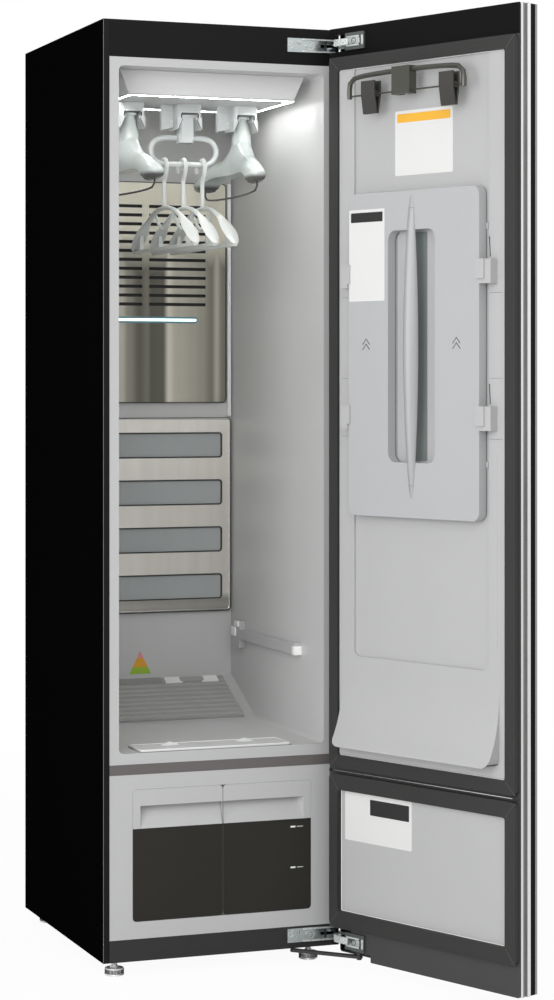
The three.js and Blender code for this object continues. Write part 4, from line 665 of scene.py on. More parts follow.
# The CAD nodes' finishes, each with the width of its rounded edges
DRESSING = (
    (BLACK_SHEET, 0.5, "side_panel_left", "side_panel_right", "top_panel"),
    (DARK_SHEET, 0, "base_pan", "back_panel", "compressor"),
    (RAIL_SHEET, 0, "top_rail"),
    (MID_SHEET, 0, "mid_rail"),
    (PLINTH_SHEET, 0, "bottom_rail"),
    (FOOT_STEEL, 0.5, "foot_front_left", "foot_front_right"),
    (FOOT_STEEL, 0, "foot_rear_left", "foot_rear_right"),
    (INNER_MOULDING, 0, "cavity_liner"),
    (UPPER_STEEL, 0, "upper_back_plate"),
    (LOWER_STEEL, 0, "lower_grille_plate"),
    (FLEECE, 0, "air_filter"),
    (MOULDING, 0.8, "shelf_rail_left", "shelf_rail_right"),
    (TRAY_MOULDING, 0, "ribbed_tray"),
    (HATCH_MOULDING, 0.5, "floor_hatch"),
    (HOUSING_MOULDING, 1.5, "lamp_housing"),
    (NOZZLE_MOULDING, 0, "light_frame", "air_nozzle_left", "air_nozzle_middle", "air_nozzle_right"),
    (NOZZLE_MOULDING, 0, "loop_rail"),
    (MINT_GLOSS, 0, "air_hanger_left", "air_hanger_right"),
    (HANGER_WHITE, 0, "small_hanger_left", "small_hanger_middle", "small_hanger_right"),
    (MOULDING, 0, "tank_bay", "tank_left_header", "tank_right_header", "door_liner", "lower_door_panel"),
    (SMOKED, 0, "tank_left", "tank_right"),
    (MACHINE, 1.5, "steam_generator"),
    (MACHINE, 0, "circulation_fan"),
    (FINS, 0, "heat_exchanger"),
    (ZINC, 0, "hinge_top_base", "hinge_bottom_base"),
    (ARM_ZINC_SHADED, 0.5, "hinge_top_door_arm", "hinge_bottom_door_arm"),
    (DOOR_GREY, 0, "door_frame"),
    (FRONT_GLASS, 0.8, "outer_panel"),
    (DARK_TRIM, 0, "handle_channel"),
    (RUBBER, 0, "gasket_upper", "gasket_lower"),
    (DARK_SHEET, 0.5, "door_stay"),
    (PRESS_PLATE, 1.5, "press_plate"),
    (HANDLE_GLOSS, 0, "press_handle"),
    (NICKEL, 0, "trouser_hanger"),
    (CLIP_DARK, 0.4, "trouser_clip_left", "trouser_clip_right"),
    (NICKEL, 0.4, "trouser_clip_left_jaw", "trouser_clip_right_jaw"),
)
# How much fuller the small hangers' wires are than their CAD nodes
WIRE_SWELL = 1.2


def smooth_shading(obj):
    obj.modifiers.new("joined_and_smoothed", "NODES").node_group = ROUNDING


def dress(node, material, edge):
    """Gives a CAD node its finish, smooth shading and, where edge is above 0, rounded edges of that width."""
    obj = nodes[node]
    obj.data.materials.clear()
    obj.data.materials.append(material)
    if edge:
        smooth_shading(obj)
        bevel = obj.modifiers.new("rounded_edges", "BEVEL")
        bevel.width = edge * MM
        bevel.segments = 2
        bevel.limit_method = "ANGLE"
        bevel.angle_limit = SHARP_ANGLE
        bevel.use_clamp_overlap = True
    smooth_shading(obj)


for node_finish, edge_width, *node_names in DRESSING:
    for node_name in node_names:
        dress(node_name, node_finish, edge_width)
for side_name in ("left", "middle", "right"):
    fuller = nodes[f"small_hanger_{side_name}"].modifiers.new("fuller_wire", "DISPLACE")
    fuller.strength = WIRE_SWELL * MM
    fuller.mid_level = 0.0


# Measures taken off the CAD nodes
def measured(node, read=cabinet_point):
    """A node's lowest and highest corners in millimetres."""
    corners = [read(vertex.co) for vertex in nodes[node].data.vertices]
    return tuple(Vector([pick(corner[k] for corner in corners) for k in range(3)]) for pick in (min, max))


def welded(node):
    shape = bmesh.new()
    shape.from_mesh(nodes[node].data)
    bmesh.ops.remove_doubles(shape, verts=shape.verts, dist=0.01 * MM)
    return shape


SURFACES = {}
DOOR_REACH = 80


def door_depth(node, across, up):
    """How far inwards a node of the door has its skin."""
    if node not in SURFACES:
        shape = welded(node)
        SURFACES[node] = BVHTree.FromBMesh(shape)
        shape.free()
    start, aim = (door_point(across, depth, up) for depth in (DOOR_REACH, -DOOR_REACH))
    hit = SURFACES[node].ray_cast(start, (aim - start).normalized())[0]
    return closed_point(hit).y if hit else 0.0


def laid_on_liner(points, lift=0.1, step=6.0):
    """A line that follows the door liner's skin through points given as across and up."""
    line = []
    for start, end in zip(points, points[1:]):
        count = max(1, round(math.dist(start, end) / step))
        for k in range(count + (end == points[-1])):
            across, up = (mix(*ends, k / count) for ends in zip(start, end))
            line.append((across, door_depth("door_liner", across, up) + lift, up))
    return line


def ring_at(node, up):
    """Vertices and edges of a node's level line at a height, in the cabinet's millimetres."""
    shape = welded(node)
    every = shape.verts[:] + shape.edges[:] + shape.faces[:]
    cut = bmesh.ops.bisect_plane(shape, geom=every, plane_co=(0, 0, up * MM), plane_no=(0, 0, 1))
    edges = [piece for piece in cut["geom_cut"] if isinstance(piece, bmesh.types.BMEdge)]
    order = {}
    for edge in edges:
        for vertex in edge.verts:
            order.setdefault(vertex, len(order))
    vertices = [tuple(cabinet_point(vertex.co)) for vertex in order]
    pairs = [tuple(order[vertex] for vertex in edge.verts) for edge in edges]
    shape.free()
    return vertices, pairs


# Front flanges of the side panels, and a painted highlight along their edge
FLANGE_WIDE, FLANGE_INSET, FLANGE_NEAR, FLANGE_FAR = 13.0, 0.5, -0.12, 0.4
FLANGE_HIGHLIGHT_PLACE, FLANGE_HIGHLIGHT_INSET = (0.8, -0.1), 1


def flanges():
    low, high = measured("side_panel_left")
    right = measured("side_panel_right")[1].x
    inset = FLANGE_INSET
    shape = bmesh.new()
    for start, end in ((low.x + inset, low.x + FLANGE_WIDE), (right - FLANGE_WIDE, right - inset)):
        slab(shape, box_outline(start, end, low.z + inset, high.z - inset), FLANGE_NEAR, FLANGE_FAR)
    make_piece("flanges", shape, CABINET, "black_sheet", FLANGE_SHEET)
    across, depth = FLANGE_HIGHLIGHT_PLACE
    levels = (low.z + FLANGE_HIGHLIGHT_INSET, high.z - FLANGE_HIGHLIGHT_INSET)
    line = [(low.x + across, depth, up) for up in levels]
    # A grey bead on the black flange: painted highlight along its edge
    beads("flange_edge_highlight", strokes(line), 1.0, MARK_GREY, CABINET, "black_sheet")


# Lamp: the glowing strip round the frame's rim
LAMP_STRIP_WIDE, LAMP_STRIP_EDGE, LAMP_STRIP_HIGH = 4.0, 0.3, 2.0
LAMP_CORNERS = (3, 2)


def lamp_strip():
    box = measured("light_frame")
    insets = (LAMP_STRIP_EDGE, LAMP_STRIP_WIDE)
    outer, inner = (inset_outline(box, inset, corner, up=1) for inset, corner in zip(insets, LAMP_CORNERS))
    bottom = box[0].z
    shape = bmesh.new()
    ring_slab(shape, outer, inner, bottom - LAMP_STRIP_EDGE, bottom + LAMP_STRIP_HIGH, facing_up)
    make_piece("lamp_strip", shape, CABINET, "light_strip", LAMP_GLOW)


# Back wall: the upper plate's edge with a painted shadow line, a dark sheet that paints the shade in its
# slots, the light bar with a painted cyan glow, and the corner strip
UPPER_BOX = UPPER_LOW, UPPER_HIGH = measured("upper_back_plate")
GRILLE_BOX = GRILLE_LOW, GRILLE_HIGH = measured("lower_grille_plate")
ROOM_BACK = 537.0
PLATE_CORNER = 8.0
SLOT_SHADE_INSET, SLOT_SHADE_NEAR, SLOT_SHADE_FAR = 12.0, 0.6, 0.1
BAR_LEFT, BAR_RIGHT, BAR_LEVEL, BAR_HALF = 118.0, 382.0, 1275.0, 2.6
BAR_RISE, BAR_SUNK, BAR_ROUND = 0.8, 0.4, 0.1
GLOW_PAST, GLOW_HALF, GLOW_CORNER, GLOW_RISE = 3, 7, 6, 0.3
CORNER_NEAR, CORNER_FAR, CORNER_FOOT, CORNER_ROUND, CORNER_RISE, CORNER_EDGE = 2.5, 10, 3, 2, 3, 1.5


def back_plate_trim():
    face = UPPER_LOW.y
    # A black bead round the plate: painted shadow where the plate meets the wall
    edge = framed(inset_outline(UPPER_BOX, 1, PLATE_CORNER), face - 0.2)
    beads("upper_plate_shadow_line", loops(edge), 2.2, SEAL, CABINET, "gasket")
    # A dark sheet behind the slots: painted shade seen through them
    inset = SLOT_SHADE_INSET
    slot_shade = box_outline(
        UPPER_LOW.x + inset, UPPER_HIGH.x - inset, UPPER_LOW.z + inset, UPPER_HIGH.z - inset,
    )
    near, far = ROOM_BACK - SLOT_SHADE_NEAR, ROOM_BACK - SLOT_SHADE_FAR
    plate("slot_shade_sheet", slot_shade, near, far, DARK_SHEET, CABINET, "gasket")
    low, high = BAR_LEVEL - BAR_HALF, BAR_LEVEL + BAR_HALF
    bar = rounded_outline(BAR_LEFT, BAR_RIGHT, low, high, BAR_HALF - BAR_ROUND)
    plate("light_bar", bar, face - BAR_RISE, face + BAR_SUNK, BAR_GLOW, CABINET, "light_strip")
    # A plate round the bar with the bar's cyan glow painted on it
    low, high = BAR_LEVEL - GLOW_HALF, BAR_LEVEL + GLOW_HALF
    halo = rounded_outline(BAR_LEFT - GLOW_PAST, BAR_RIGHT + GLOW_PAST, low, high, GLOW_CORNER)
    plate("light_bar_painted_glow", halo, face - GLOW_RISE, face + GLOW_RISE, PAINTED_CYAN_GLOW, CABINET, "light_strip")
    left, right = UPPER_HIGH.x + CORNER_NEAR, UPPER_HIGH.x + CORNER_FAR
    strip = rounded_outline(left, right, GRILLE_HIGH.z + CORNER_FOOT, UPPER_HIGH.z, CORNER_ROUND)
    plate(
        "corner_strip", strip, face - CORNER_RISE, ROOM_BACK, WHITE_MOULDING, CABINET, "pale_moulding",
        edge=CORNER_EDGE,
    )


# Back wall: the grille plate's windows, with painted shadow inside them and round the plate, and the filter's
# pleats
WINDOW_LEFT, WINDOW_RIGHT, WINDOW_HIGH, WINDOW_CORNER = 57.0, 443.0, 55.5, 7.0
WINDOW_FIRST_SHARE, WINDOW_STEP_SHARE, WINDOW_COUNT = 0.064, 0.243, 4
WINDOW_SHADOW_OUTER, WINDOW_SHADOW_INNER, WINDOW_SHADOW_NEAR, WINDOW_SHADOW_FAR, LIP_INSET = 0.1, 2.4, 0.6, 3.6, -0.3
RIDGE_INSET, RIDGE_RISE = 4, 0.2
PLEAT_STEP, PLEAT_SIZE, PLEAT_SHORTER = 5.0, (2.0, 0.8), 4


def window_outlines(inset):
    outlines = []
    for k in range(WINDOW_COUNT):
        low = mix(GRILLE_LOW.z, GRILLE_HIGH.z, WINDOW_FIRST_SHARE + WINDOW_STEP_SHARE * k)
        sides = (WINDOW_LEFT + inset, WINDOW_RIGHT - inset, low + inset, low + WINDOW_HIGH - inset)
        outlines.append(rounded_outline(*sides, WINDOW_CORNER - inset))
    return outlines


def grille_trim():
    face = GRILLE_LOW.y
    shape = bmesh.new()
    # Black rings inside the windows: painted shadow of the plate's folded-in return
    for outer, inner in zip(window_outlines(WINDOW_SHADOW_OUTER), window_outlines(WINDOW_SHADOW_INNER)):
        ring_slab(shape, outer, inner, face + WINDOW_SHADOW_NEAR, face + WINDOW_SHADOW_FAR)
    make_piece("window_shadow_rings", shape, CABINET, "gasket", SEAL)
    lips = [framed(outline, face) for outline in window_outlines(LIP_INSET)]
    beads("window_lips", loops(*lips), 1.1, NICKEL_BRIGHT, CABINET, "nickel_grey")
    # A black bead round the grille plate: painted shadow where it meets the wall
    edge = framed(inset_outline(GRILLE_BOX, 1, PLATE_CORNER), face)
    beads("grille_shadow_line", loops(edge), 2.4, SEAL, CABINET, "gasket")
    ridge = framed(inset_outline(GRILLE_BOX, RIDGE_INSET, PLATE_CORNER - 2), face + RIDGE_RISE)
    beads("grille_ridge", loops(ridge), 1.6, BRUSHED_TRIM, CABINET, "nickel_grey")


def filter_pleats():
    low, high = measured("air_filter")
    start = (low.x + PLEAT_STEP, low.y, (low.z + high.z) / 2)
    grown(
        "filter_pleats", ROWS, ([start], []), CABINET, "filter_grey", Finish=FLEECE,
        Count=int((high.x - low.x - PLEAT_STEP) / PLEAT_STEP), Step=(PLEAT_STEP, 0.0, 0.0),
        Size=(*PLEAT_SIZE, high.z - low.z - PLEAT_SHORTER),
    )


# Back wall: the coloured patch and the two round-ended caps
PATCH_MIDDLE, PATCH_HALF, PATCH_TIP_HALF, PATCH_LOW, PATCH_HIGH = 254.5, 25.0, 0.6, 498.5, 547.5
PATCH_RISE, PATCH_SUNK = 0.4, 0.2
PATCH_BANDS = ((0.0, 0.3, PATCH_GREEN), (0.3, 0.7, PATCH_ORANGE), (0.7, 1.0, PATCH_PINK))
CAP_MIDDLES, CAP_LEVEL, CAP_HALF_WIDE, CAP_HALF_HIGH = (342.0, 386.0), 1607.0, 4.75, 9.5
CAP_RISE, CAP_SUNK, CAP_EDGE = 2.5, 0.3, 1.2


def colour_patch():
    near, far = ROOM_BACK - PATCH_RISE, ROOM_BACK + PATCH_SUNK
    for number, (start, end, material) in enumerate(PATCH_BANDS):
        low, high = (mix(PATCH_LOW, PATCH_HIGH, share) for share in (start, end))
        wide, narrow = PATCH_HALF * (1 - start), max(PATCH_HALF * (1 - end), PATCH_TIP_HALF)
        corners = ((-wide, low), (wide, low), (narrow, high), (-narrow, high))
        outline = [(PATCH_MIDDLE + across, up) for across, up in corners]
        plate(f"colour_patch_{number + 1}", outline, near, far, material, CABINET, "pale_moulding")


def wall_caps():
    low, high = CAP_LEVEL - CAP_HALF_HIGH, CAP_LEVEL + CAP_HALF_HIGH
    shape = bmesh.new()
    for middle in CAP_MIDDLES:
        sides = (middle - CAP_HALF_WIDE, middle + CAP_HALF_WIDE)
        outline = rounded_outline(*sides, low, high, CAP_HALF_WIDE - 0.1)
        slab(shape, outline, ROOM_BACK - CAP_RISE, ROOM_BACK + CAP_SUNK, edge=CAP_EDGE)
    make_piece("wall_caps", shape, CABINET, "white_plastic", WHITE_MOULDING)


# Shelf rails: their clips and end caps, as shares of the rail's depth and height
CLIP_SHARES = ((0.87, 0.93, 0.78, 0.99), (0.92, 0.985, 0.42, 0.76), (-0.004, 0.035, 0.3, 0.62))
CLIP_RISE, CLIP_EDGE = 0.6, 0.5


def rail_clips():
    for side in ("right", "left"):
        low, high = measured(f"shelf_rail_{side}")
        inner, wall = (low.x, high.x) if side == "right" else (high.x, low.x)
        near = inner + math.copysign(CLIP_RISE, inner - wall)
        deep, tall = high.y - low.y, high.z - low.z
        shape = bmesh.new()
        for start, end, bottom, top in CLIP_SHARES:
            sides = (low.y + deep * start, low.y + deep * end, low.z + tall * bottom, low.z + tall * top)
            slab(shape, rounded_outline(*sides, 1.0, steps=2), near, wall, facing_side, edge=CLIP_EDGE)
        make_piece(f"rail_clips_{side}", shape, CABINET, "white_plastic", WHITE_MOULDING)


# Nozzles: cheeks, seals, the hangers' necks under them, and the screws of the wing plates
NOZZLE_MIDDLES = {"left": 126.1, "middle": 250.0, "right": 373.9}
NOZZLE_DEEP = 224.0
NOZZLE_HIGH, BAND_SHARE = 33, 0.62
CHEEK_INSET = 0.2
CHEEK_PROFILE = (
    (16.9, 1684.0), (16.9, 1678.5), (19.0, 1674.0), (23.0, 1666.0), (25.5, 1659.7), (26.8, 1659.7),
    (26.8, 1684.0),
)
CHEEK_LINE = ((17.4, 1684.0), (16.9, 1678.5), (19.0, 1674.0), (23.0, 1666.0), (25.5, 1659.9))
SEAL_SIDE = ((18.3, 1684.0), (18.3, 1691.2), (16.6, 1693.2))
SEAL_RISE = 0.1
NECK_BELL = (
    (1679.2, 15.2, 13.6), (1672.0, 15.8, 14.4), (1664.0, 17.0, 16.0), (1655.0, 18.8, 18.5),
    (1645.0, 20.4, 21.0), (1626.0, 19.6, 23.0),
)
NECK_SIDES = 28
WING_SCREW_ACROSS, WING_SCREW_LEVEL = 12, 1676.0
FORWARD, BACKWARD = (math.pi / 2, 0.0, 0.0), (-math.pi / 2, 0.0, 0.0)


def nozzle_trim():
    for side, middle in NOZZLE_MIDDLES.items():
        node = f"air_nozzle_{side}"
        low, high = measured(node)
        band = ring_at(node, mix(high.z - NOZZLE_HIGH, high.z, BAND_SHARE))
        beads(f"nozzle_band_{side}", band, 0.9, MOULDING, CABINET, "pale_moulding")
        shape = bmesh.new()
        lines = []
        for way in (-1, 1):
            outline = [(middle + way * across, up) for across, up in CHEEK_PROFILE][::way]
            slab(shape, outline, low.y + CHEEK_INSET, high.y - CHEEK_INSET)
            lines.append([(middle + way * across, low.y, up) for across, up in CHEEK_LINE])
        make_piece(f"nozzle_cheeks_{side}", shape, CABINET, "pale_moulding", NOZZLE_MOULDING)
        beads(f"cheek_lines_{side}", strokes(*lines), 1.0, SEAL, CABINET, "gasket")
        seal = [(middle - across, low.y - SEAL_RISE, up) for across, up in SEAL_SIDE]
        seal += [(middle + across, low.y - SEAL_RISE, up) for across, up in SEAL_SIDE[::-1]]
        beads(f"neck_seal_{side}", strokes(seal), 2.4, SEAL, CABINET, "gasket")


def neck_bells():
    """The flare with which an air hanger's neck widens under its nozzle."""
    for side in ("left", "right"):
        shape = bmesh.new()
        rings = []
        for up, across_half, deep_half in NECK_BELL:
            ring = ellipse(NOZZLE_MIDDLES[side], NOZZLE_DEEP, across_half, deep_half, NECK_SIDES)
            rings.append(framed(ring, up, facing_up))
        loft(shape, rings)
        mount = (body_point, f"air_hanger_{side}")
        make_piece(f"neck_bell_{side}", shape, mount, "mint_gloss", MINT_GLOSS, smooth=60)


def wing_screws():
    corners = [measured(f"air_nozzle_{side}")[0] for side in ("middle", "right")]
    points = [(low.x + WING_SCREW_ACROSS, low.y, WING_SCREW_LEVEL) for low in corners]
    grown(
        "wing_screws", HEADS, (points, []), CABINET, "white_plastic", Radius=2.6, Height=1.2, Turn=FORWARD,
        Recess=0.7, Finish=WHITE_MOULDING, Recess_finish=MARK_GREY,
    )


# Chamber floor: the tray's catches, as shares of its width, and the hatch's rim
CATCHES = (
    (0.17, 0.28, WHITE_MOULDING), (0.3, 0.62, TRAY_DARK), (0.64, 0.74, WHITE_MOULDING),
    (0.86, 0.96, WHITE_MOULDING),
)
CATCH_BACK, CATCH_LONG, CATCH_RISE, CATCH_SUNK = 6, 16, 3.2, 1.0
HATCH_TOP, HATCH_RIM_INSET, HATCH_GAP_LEVEL, HATCH_GAP, HATCH_CORNER = 413.0, 1.5, 409.1, 0.6, 4


def tray_trim():
    low, high = measured("ribbed_tray")
    slope = (high.z - low.z) / (high.y - low.y)
    front = CATCH_BACK + CATCH_LONG
    profile = (
        (front, -CATCH_SUNK), (front, CATCH_RISE), (CATCH_BACK, CATCH_RISE), (CATCH_BACK, -CATCH_SUNK),
    )
    for number, (*shares, material) in enumerate(CATCHES):
        rings = []
        for share in shares:
            across = mix(low.x, high.x, share)
            rings.append([(across, high.y - back, high.z - slope * back + rise) for back, rise in profile])
        shape = bmesh.new()
        loft(shape, rings)
        make_piece(f"tray_catch_{number + 1}", shape, (body_point, "tray"), "pale_moulding", material)


def hatch_rim():
    box = measured("floor_hatch")
    rim = framed(inset_outline(box, HATCH_RIM_INSET, HATCH_CORNER, up=1), HATCH_TOP, facing_up)
    beads("hatch_rim", loops(rim), 1.6, WHITE_MOULDING, (body_point, "hatch"), "pale_moulding")
    gap = framed(inset_outline(box, -HATCH_GAP, HATCH_CORNER, up=1), HATCH_GAP_LEVEL, facing_up)
    beads("hatch_gap", loops(gap), 1.2, SEAL, CABINET, "gasket")


# Tanks: level ticks of a thick and a thin part, outlines and reliefs
TICK_LEFT, TICK_MIDDLE, TICK_RIGHT = 395.0, mix(395.0, 422.0, 0.42), 422.0
TICK_PARTS = ((TICK_LEFT, TICK_MIDDLE - 1, 1.6), (TICK_MIDDLE + 2, TICK_RIGHT, 0.5))
TICK_LEVELS = (244.5, 162.7)
TICK_RISE, TICK_SUNK = 0.2, 0.3
TANK_EDGE, TANK_BELOW_HEADER, TANK_TOP_EDGE, TANK_CORNER = 0.4, 182.0, 0.3, 3
RELIEF_INSET, RELIEF_FOOT, RELIEF_BELOW_HEADER, RELIEF_CORNER, RELIEF_DEPTH = 7, 84.0, 5, 4, 0.1


def tank_trim():
    face = measured("tank_right")[0].y
    shape = bmesh.new()
    for level in TICK_LEVELS:
        for left, right, half in TICK_PARTS:
            outline = box_outline(left, right, level - half, level + half)
            slab(shape, outline, face - TICK_RISE, face + TICK_SUNK)
    make_piece("tank_ticks", shape, (body_point, "tank_right"), "white_plastic", WHITE_MOULDING)
    for side in ("left", "right"):
        low, high = measured(f"tank_{side}_header")
        mount = (body_point, f"tank_{side}")
        sides = (low.x + TANK_EDGE, high.x - TANK_EDGE, low.z - TANK_BELOW_HEADER, high.z - TANK_TOP_EDGE)
        outline = framed(rounded_outline(*sides, TANK_CORNER), face + TANK_EDGE)
        beads(f"tank_outline_{side}", loops(outline), 0.9, MARK_GREY, mount, "gasket")
        sides = (low.x + RELIEF_INSET, high.x - RELIEF_INSET, RELIEF_FOOT, low.z - RELIEF_BELOW_HEADER)
        relief = framed(rounded_outline(*sides, RELIEF_CORNER), face + RELIEF_DEPTH)
        beads(f"tank_relief_{side}", loops(relief), 0.8, SMOKED, mount, "smoked_tank")


# Feet: knurled rings and bright lips
FOOT_DISC, FOOT_RING_LEVEL, FOOT_LIP_LEVEL = 18.6, -20.5, -26.6
KNURL_COUNT, KNURL_SIZE, LIP_SIDES = 40, (0.9, 1.7, 8.0), 32


def foot_rings():
    for foot in ("front_left", "front_right", "rear_left", "rear_right"):
        low, high = measured(f"foot_{foot}")
        middle = ((low.x + high.x) / 2, (low.y + high.y) / 2)
        mount = (body_point, f"foot_{foot}")
        grown(
            f"foot_knurl_{foot}", KNURL, ([(*middle, FOOT_RING_LEVEL)], []), mount, "zinc", Count=KNURL_COUNT,
            Radius=FOOT_DISC, Size=KNURL_SIZE, Finish=CLIP_DARK,
        )
        lip = framed(ellipse(*middle, FOOT_DISC, FOOT_DISC, LIP_SIDES), FOOT_LIP_LEVEL, facing_up)
        beads(f"foot_lip_{foot}", loops(lip), 1.8, CHROME, mount, "zinc")


# Hinges: plates as left, right, half height, corner, near and far, then lips, rings and screws
HINGES = {"bottom": 12.0, "top": 1802.0}
BASE_PLATE_HIGH = 28.0
BASE_FACE, ARM_FACE, ARM_SUNK = -3.3, 5.0, 5.0 - 0.3
HINGE_PLATES = {
    "tongue": ((459, 492, 13.5, 3), (BASE_FACE, BASE_FACE + 0.9), ZINC, CABINET, 0.0),
    "slot": ((466.5, 471.5, 9, 2), (BASE_FACE - 0.25, BASE_FACE + 0.4), INK, CABINET, 0.0),
    "slab": ((444, 481, 7, 2), (ARM_FACE + 2.6, ARM_SUNK), ZINC_PALE, DOOR, 1.0),
    "block": ((411, 444, 7.2, 3), (ARM_FACE + 1.1, ARM_SUNK), ZINC, DOOR, 0.8),
    "block_gap": ((408, 411.5, 9, 1), (ARM_FACE + 0.5, ARM_FACE - 0.2), INK, DOOR, 0.0),
}
LIP_ENDS, LIP_LEVELS, LIP_RISE, LIP_SUNK, LIP_CORNER = (420, 490), (10.6, 13.4), 3.5, 0.1, 1.0
RAIL_ENDS, RAIL_LEVELS, RAIL_RISE, RAIL_CORNER = (413, 448), (7.2, 10.2), 1.3, 1.5
HOOK_ENDS, HOOK_HALF, HOOK_RISE, HOOK_CORNER = (401.5, 406.5), 10, 1.8, 2.4
STAMPING_EDGE = 0.8
BASE_RINGS = ((437, 0, 8.0), (393, 3, 4.5), (402, -4, 4.0))
BASE_SCREWS, BASE_SCREW_RISE = ((437, 0), (412, 5)), 0.4
ARM_EYE, ARM_RING, ARM_RING_RISE, ARM_SCREW_RISE = 427, 5.6, 1.2, 0.1
RING_SIDES = 20


def stamped_pair(shape, ends, levels, middle, near, far, **look):
    """Two bars, one above and one below a hinge's middle."""
    for side in (-1, 1):
        low, high = sorted(middle + side * level for level in levels)
        slab(shape, rounded_outline(*ends, low, high, **look), near, far, edge=STAMPING_EDGE)


def hinge_screws(name, points, radius, turn, mount):
    grown(
        name, HEADS, (points, []), mount, "zinc", Radius=radius, Height=1.8, Turn=turn, Recess=1.0,
        Finish=CHROME, Recess_finish=INK,
    )


def hinge_plate(part, name, middle):
    (left, right, half, corner), depths, material, mount, edge = HINGE_PLATES[part]
    outline = rounded_outline(left, right, middle - half, middle + half, corner)
    plate(f"hinge_{part}_{name}", outline, *depths, material, mount, "zinc", edge=edge)


def hinge_trim():
    for name, low in HINGES.items():
        middle = low + BASE_PLATE_HIGH / 2
        hinge_plate("tongue", name, middle)
        shape = bmesh.new()
        near, far = BASE_FACE - LIP_RISE, BASE_FACE + LIP_SUNK
        stamped_pair(shape, LIP_ENDS, LIP_LEVELS, middle, near, far, radius=LIP_CORNER, steps=2)
        make_piece(f"hinge_lips_{name}", shape, CABINET, "zinc", ZINC_PALE)
        rings = [
            framed(ellipse(across, middle + up, radius, radius, RING_SIDES), BASE_FACE)
            for across, up, radius in BASE_RINGS
        ]
        beads(f"hinge_rings_{name}", loops(*rings), 1.5, ZINC_PALE, CABINET, "zinc")
        hinge_plate("slot", name, middle)
        points = [(across, BASE_FACE - BASE_SCREW_RISE, middle + up) for across, up in BASE_SCREWS]
        hinge_screws(f"hinge_screws_{name}", points, 3.4, FORWARD, CABINET)
        hinge_plate("slab", name, middle)
        hinge_plate("block", name, middle)
        shape = bmesh.new()
        near = ARM_FACE + RAIL_RISE
        stamped_pair(shape, RAIL_ENDS, RAIL_LEVELS, middle, near, ARM_SUNK, radius=RAIL_CORNER)
        hook = rounded_outline(*HOOK_ENDS, middle - HOOK_HALF, middle + HOOK_HALF, HOOK_CORNER)
        slab(shape, hook, ARM_FACE + HOOK_RISE, ARM_SUNK, edge=STAMPING_EDGE)
        make_piece(f"hinge_rails_{name}", shape, DOOR, "zinc", ZINC_PALE)
        ring = ellipse(ARM_EYE, middle, ARM_RING, ARM_RING, RING_SIDES)
        carrier = loops(framed(ring, ARM_FACE + ARM_RING_RISE))
        beads(f"hinge_block_ring_{name}", carrier, 1.2, INK, DOOR, "zinc")
        hinge_plate("block_gap", name, middle)
        points = [(ARM_EYE, ARM_FACE + ARM_SCREW_RISE, middle)]
        hinge_screws(f"hinge_arm_screws_{name}", points, 3.6, BACKWARD, DOOR)


# Back panel: screws along its edges
BACK_SCREW_ROWS, BACK_SCREW_ACROSS, BACK_SCREW_UP, BACK_SCREW_SUNK = 5, 9, 20, 1.2


def back_screws():
    low, high = measured("back_panel")
    points = []
    for k in range(BACK_SCREW_ROWS):
        up = mix(low.z + BACK_SCREW_UP, high.z - BACK_SCREW_UP, k / (BACK_SCREW_ROWS - 1))
        for across in (low.x + BACK_SCREW_ACROSS, high.x - BACK_SCREW_ACROSS):
            points.append((across, high.y - BACK_SCREW_SUNK, up))
    grown(
        "back_screws", HEADS, (points, []), CABINET, "zinc", Radius=3.2, Height=1.1, Turn=BACKWARD,
        Recess=1.0, Finish=ZINC, Recess_finish=INK,
    )


# Door: gasket ridges in a lighter rubber that paints their highlight, mitre lines, seam and inner trim, with
# white rims that paint the highlight of the liner's edges
GASKET_WIDE = 26.0
GASKET_BANDS = {"gasket_upper": 26.0, "gasket_lower": 31.0}
RIDGE_INSETS = (4.0, 9.5, 15.0, 21.0)
RIDGE_SUNK, MITRE_SUNK, MITRE_SHARES = 1.1, 0.35, (0.06, 0.94)
GASKET_EDGE_INSET, GASKET_EDGE_CORNER, GASKET_EDGE_SUNK = 1.2, 1.5, 1.5
SEAM_ENDS, SEAM_DEPTH, DOT_ENDS, DOT_DEPTH = (12.0, 480.0), 7.5, (4.0, 488.0), 8.0
RIM_INSET = 0.6
RIM_HIGHLIGHTS = (("liner_rim_highlight", "door_liner", 3, 7.2, 1.8), ("lower_panel_rim_highlight", "lower_door_panel", 2, 3.2, 1.6))
GAP_NEAR, GAP_FAR, GAP_END, GAP_DEPTHS = 0.2, 3.4, 2, (11.9, 0.4)


def gasket_trim(node, across_band):
    """The ridges, edge and mitres of a gasket, whose upper and lower bands are across_band high."""
    box = low, high = measured(node, closed_point)
    ridges = []
    for inset in RIDGE_INSETS:
        rise = across_band * (inset / GASKET_WIDE)
        sides = (low.x + inset, high.x - inset, low.z + rise, high.z - rise)
        ridges.append(framed(rounded_outline(*sides, 1.0, steps=1), high.y - RIDGE_SUNK))
    # The ridges are drawn in the lighter rubber, a painted highlight
    beads(f"{node}_ridges", loops(*ridges), 2.4, RUBBER_HIGHLIGHT, DOOR, "gasket")
    outline = inset_outline(box, GASKET_EDGE_INSET, GASKET_EDGE_CORNER, steps=1)
    beads(f"{node}_edge", loops(framed(outline, high.y - GASKET_EDGE_SUNK)), 1.2, SEAL, DOOR, "gasket")
    mitres = []
    for start, end in ((low.x, low.x + GASKET_WIDE), (high.x, high.x - GASKET_WIDE)):
        for lower, upper in ((low.z, low.z + across_band), (high.z, high.z - across_band)):
            line = [(mix(start, end, share), mix(lower, upper, share)) for share in MITRE_SHARES]
            mitres.append(framed(line, high.y - MITRE_SUNK))
    beads(f"{node}_mitres", strokes(*mitres), 0.9, MARK_GREY, DOOR, "gasket")


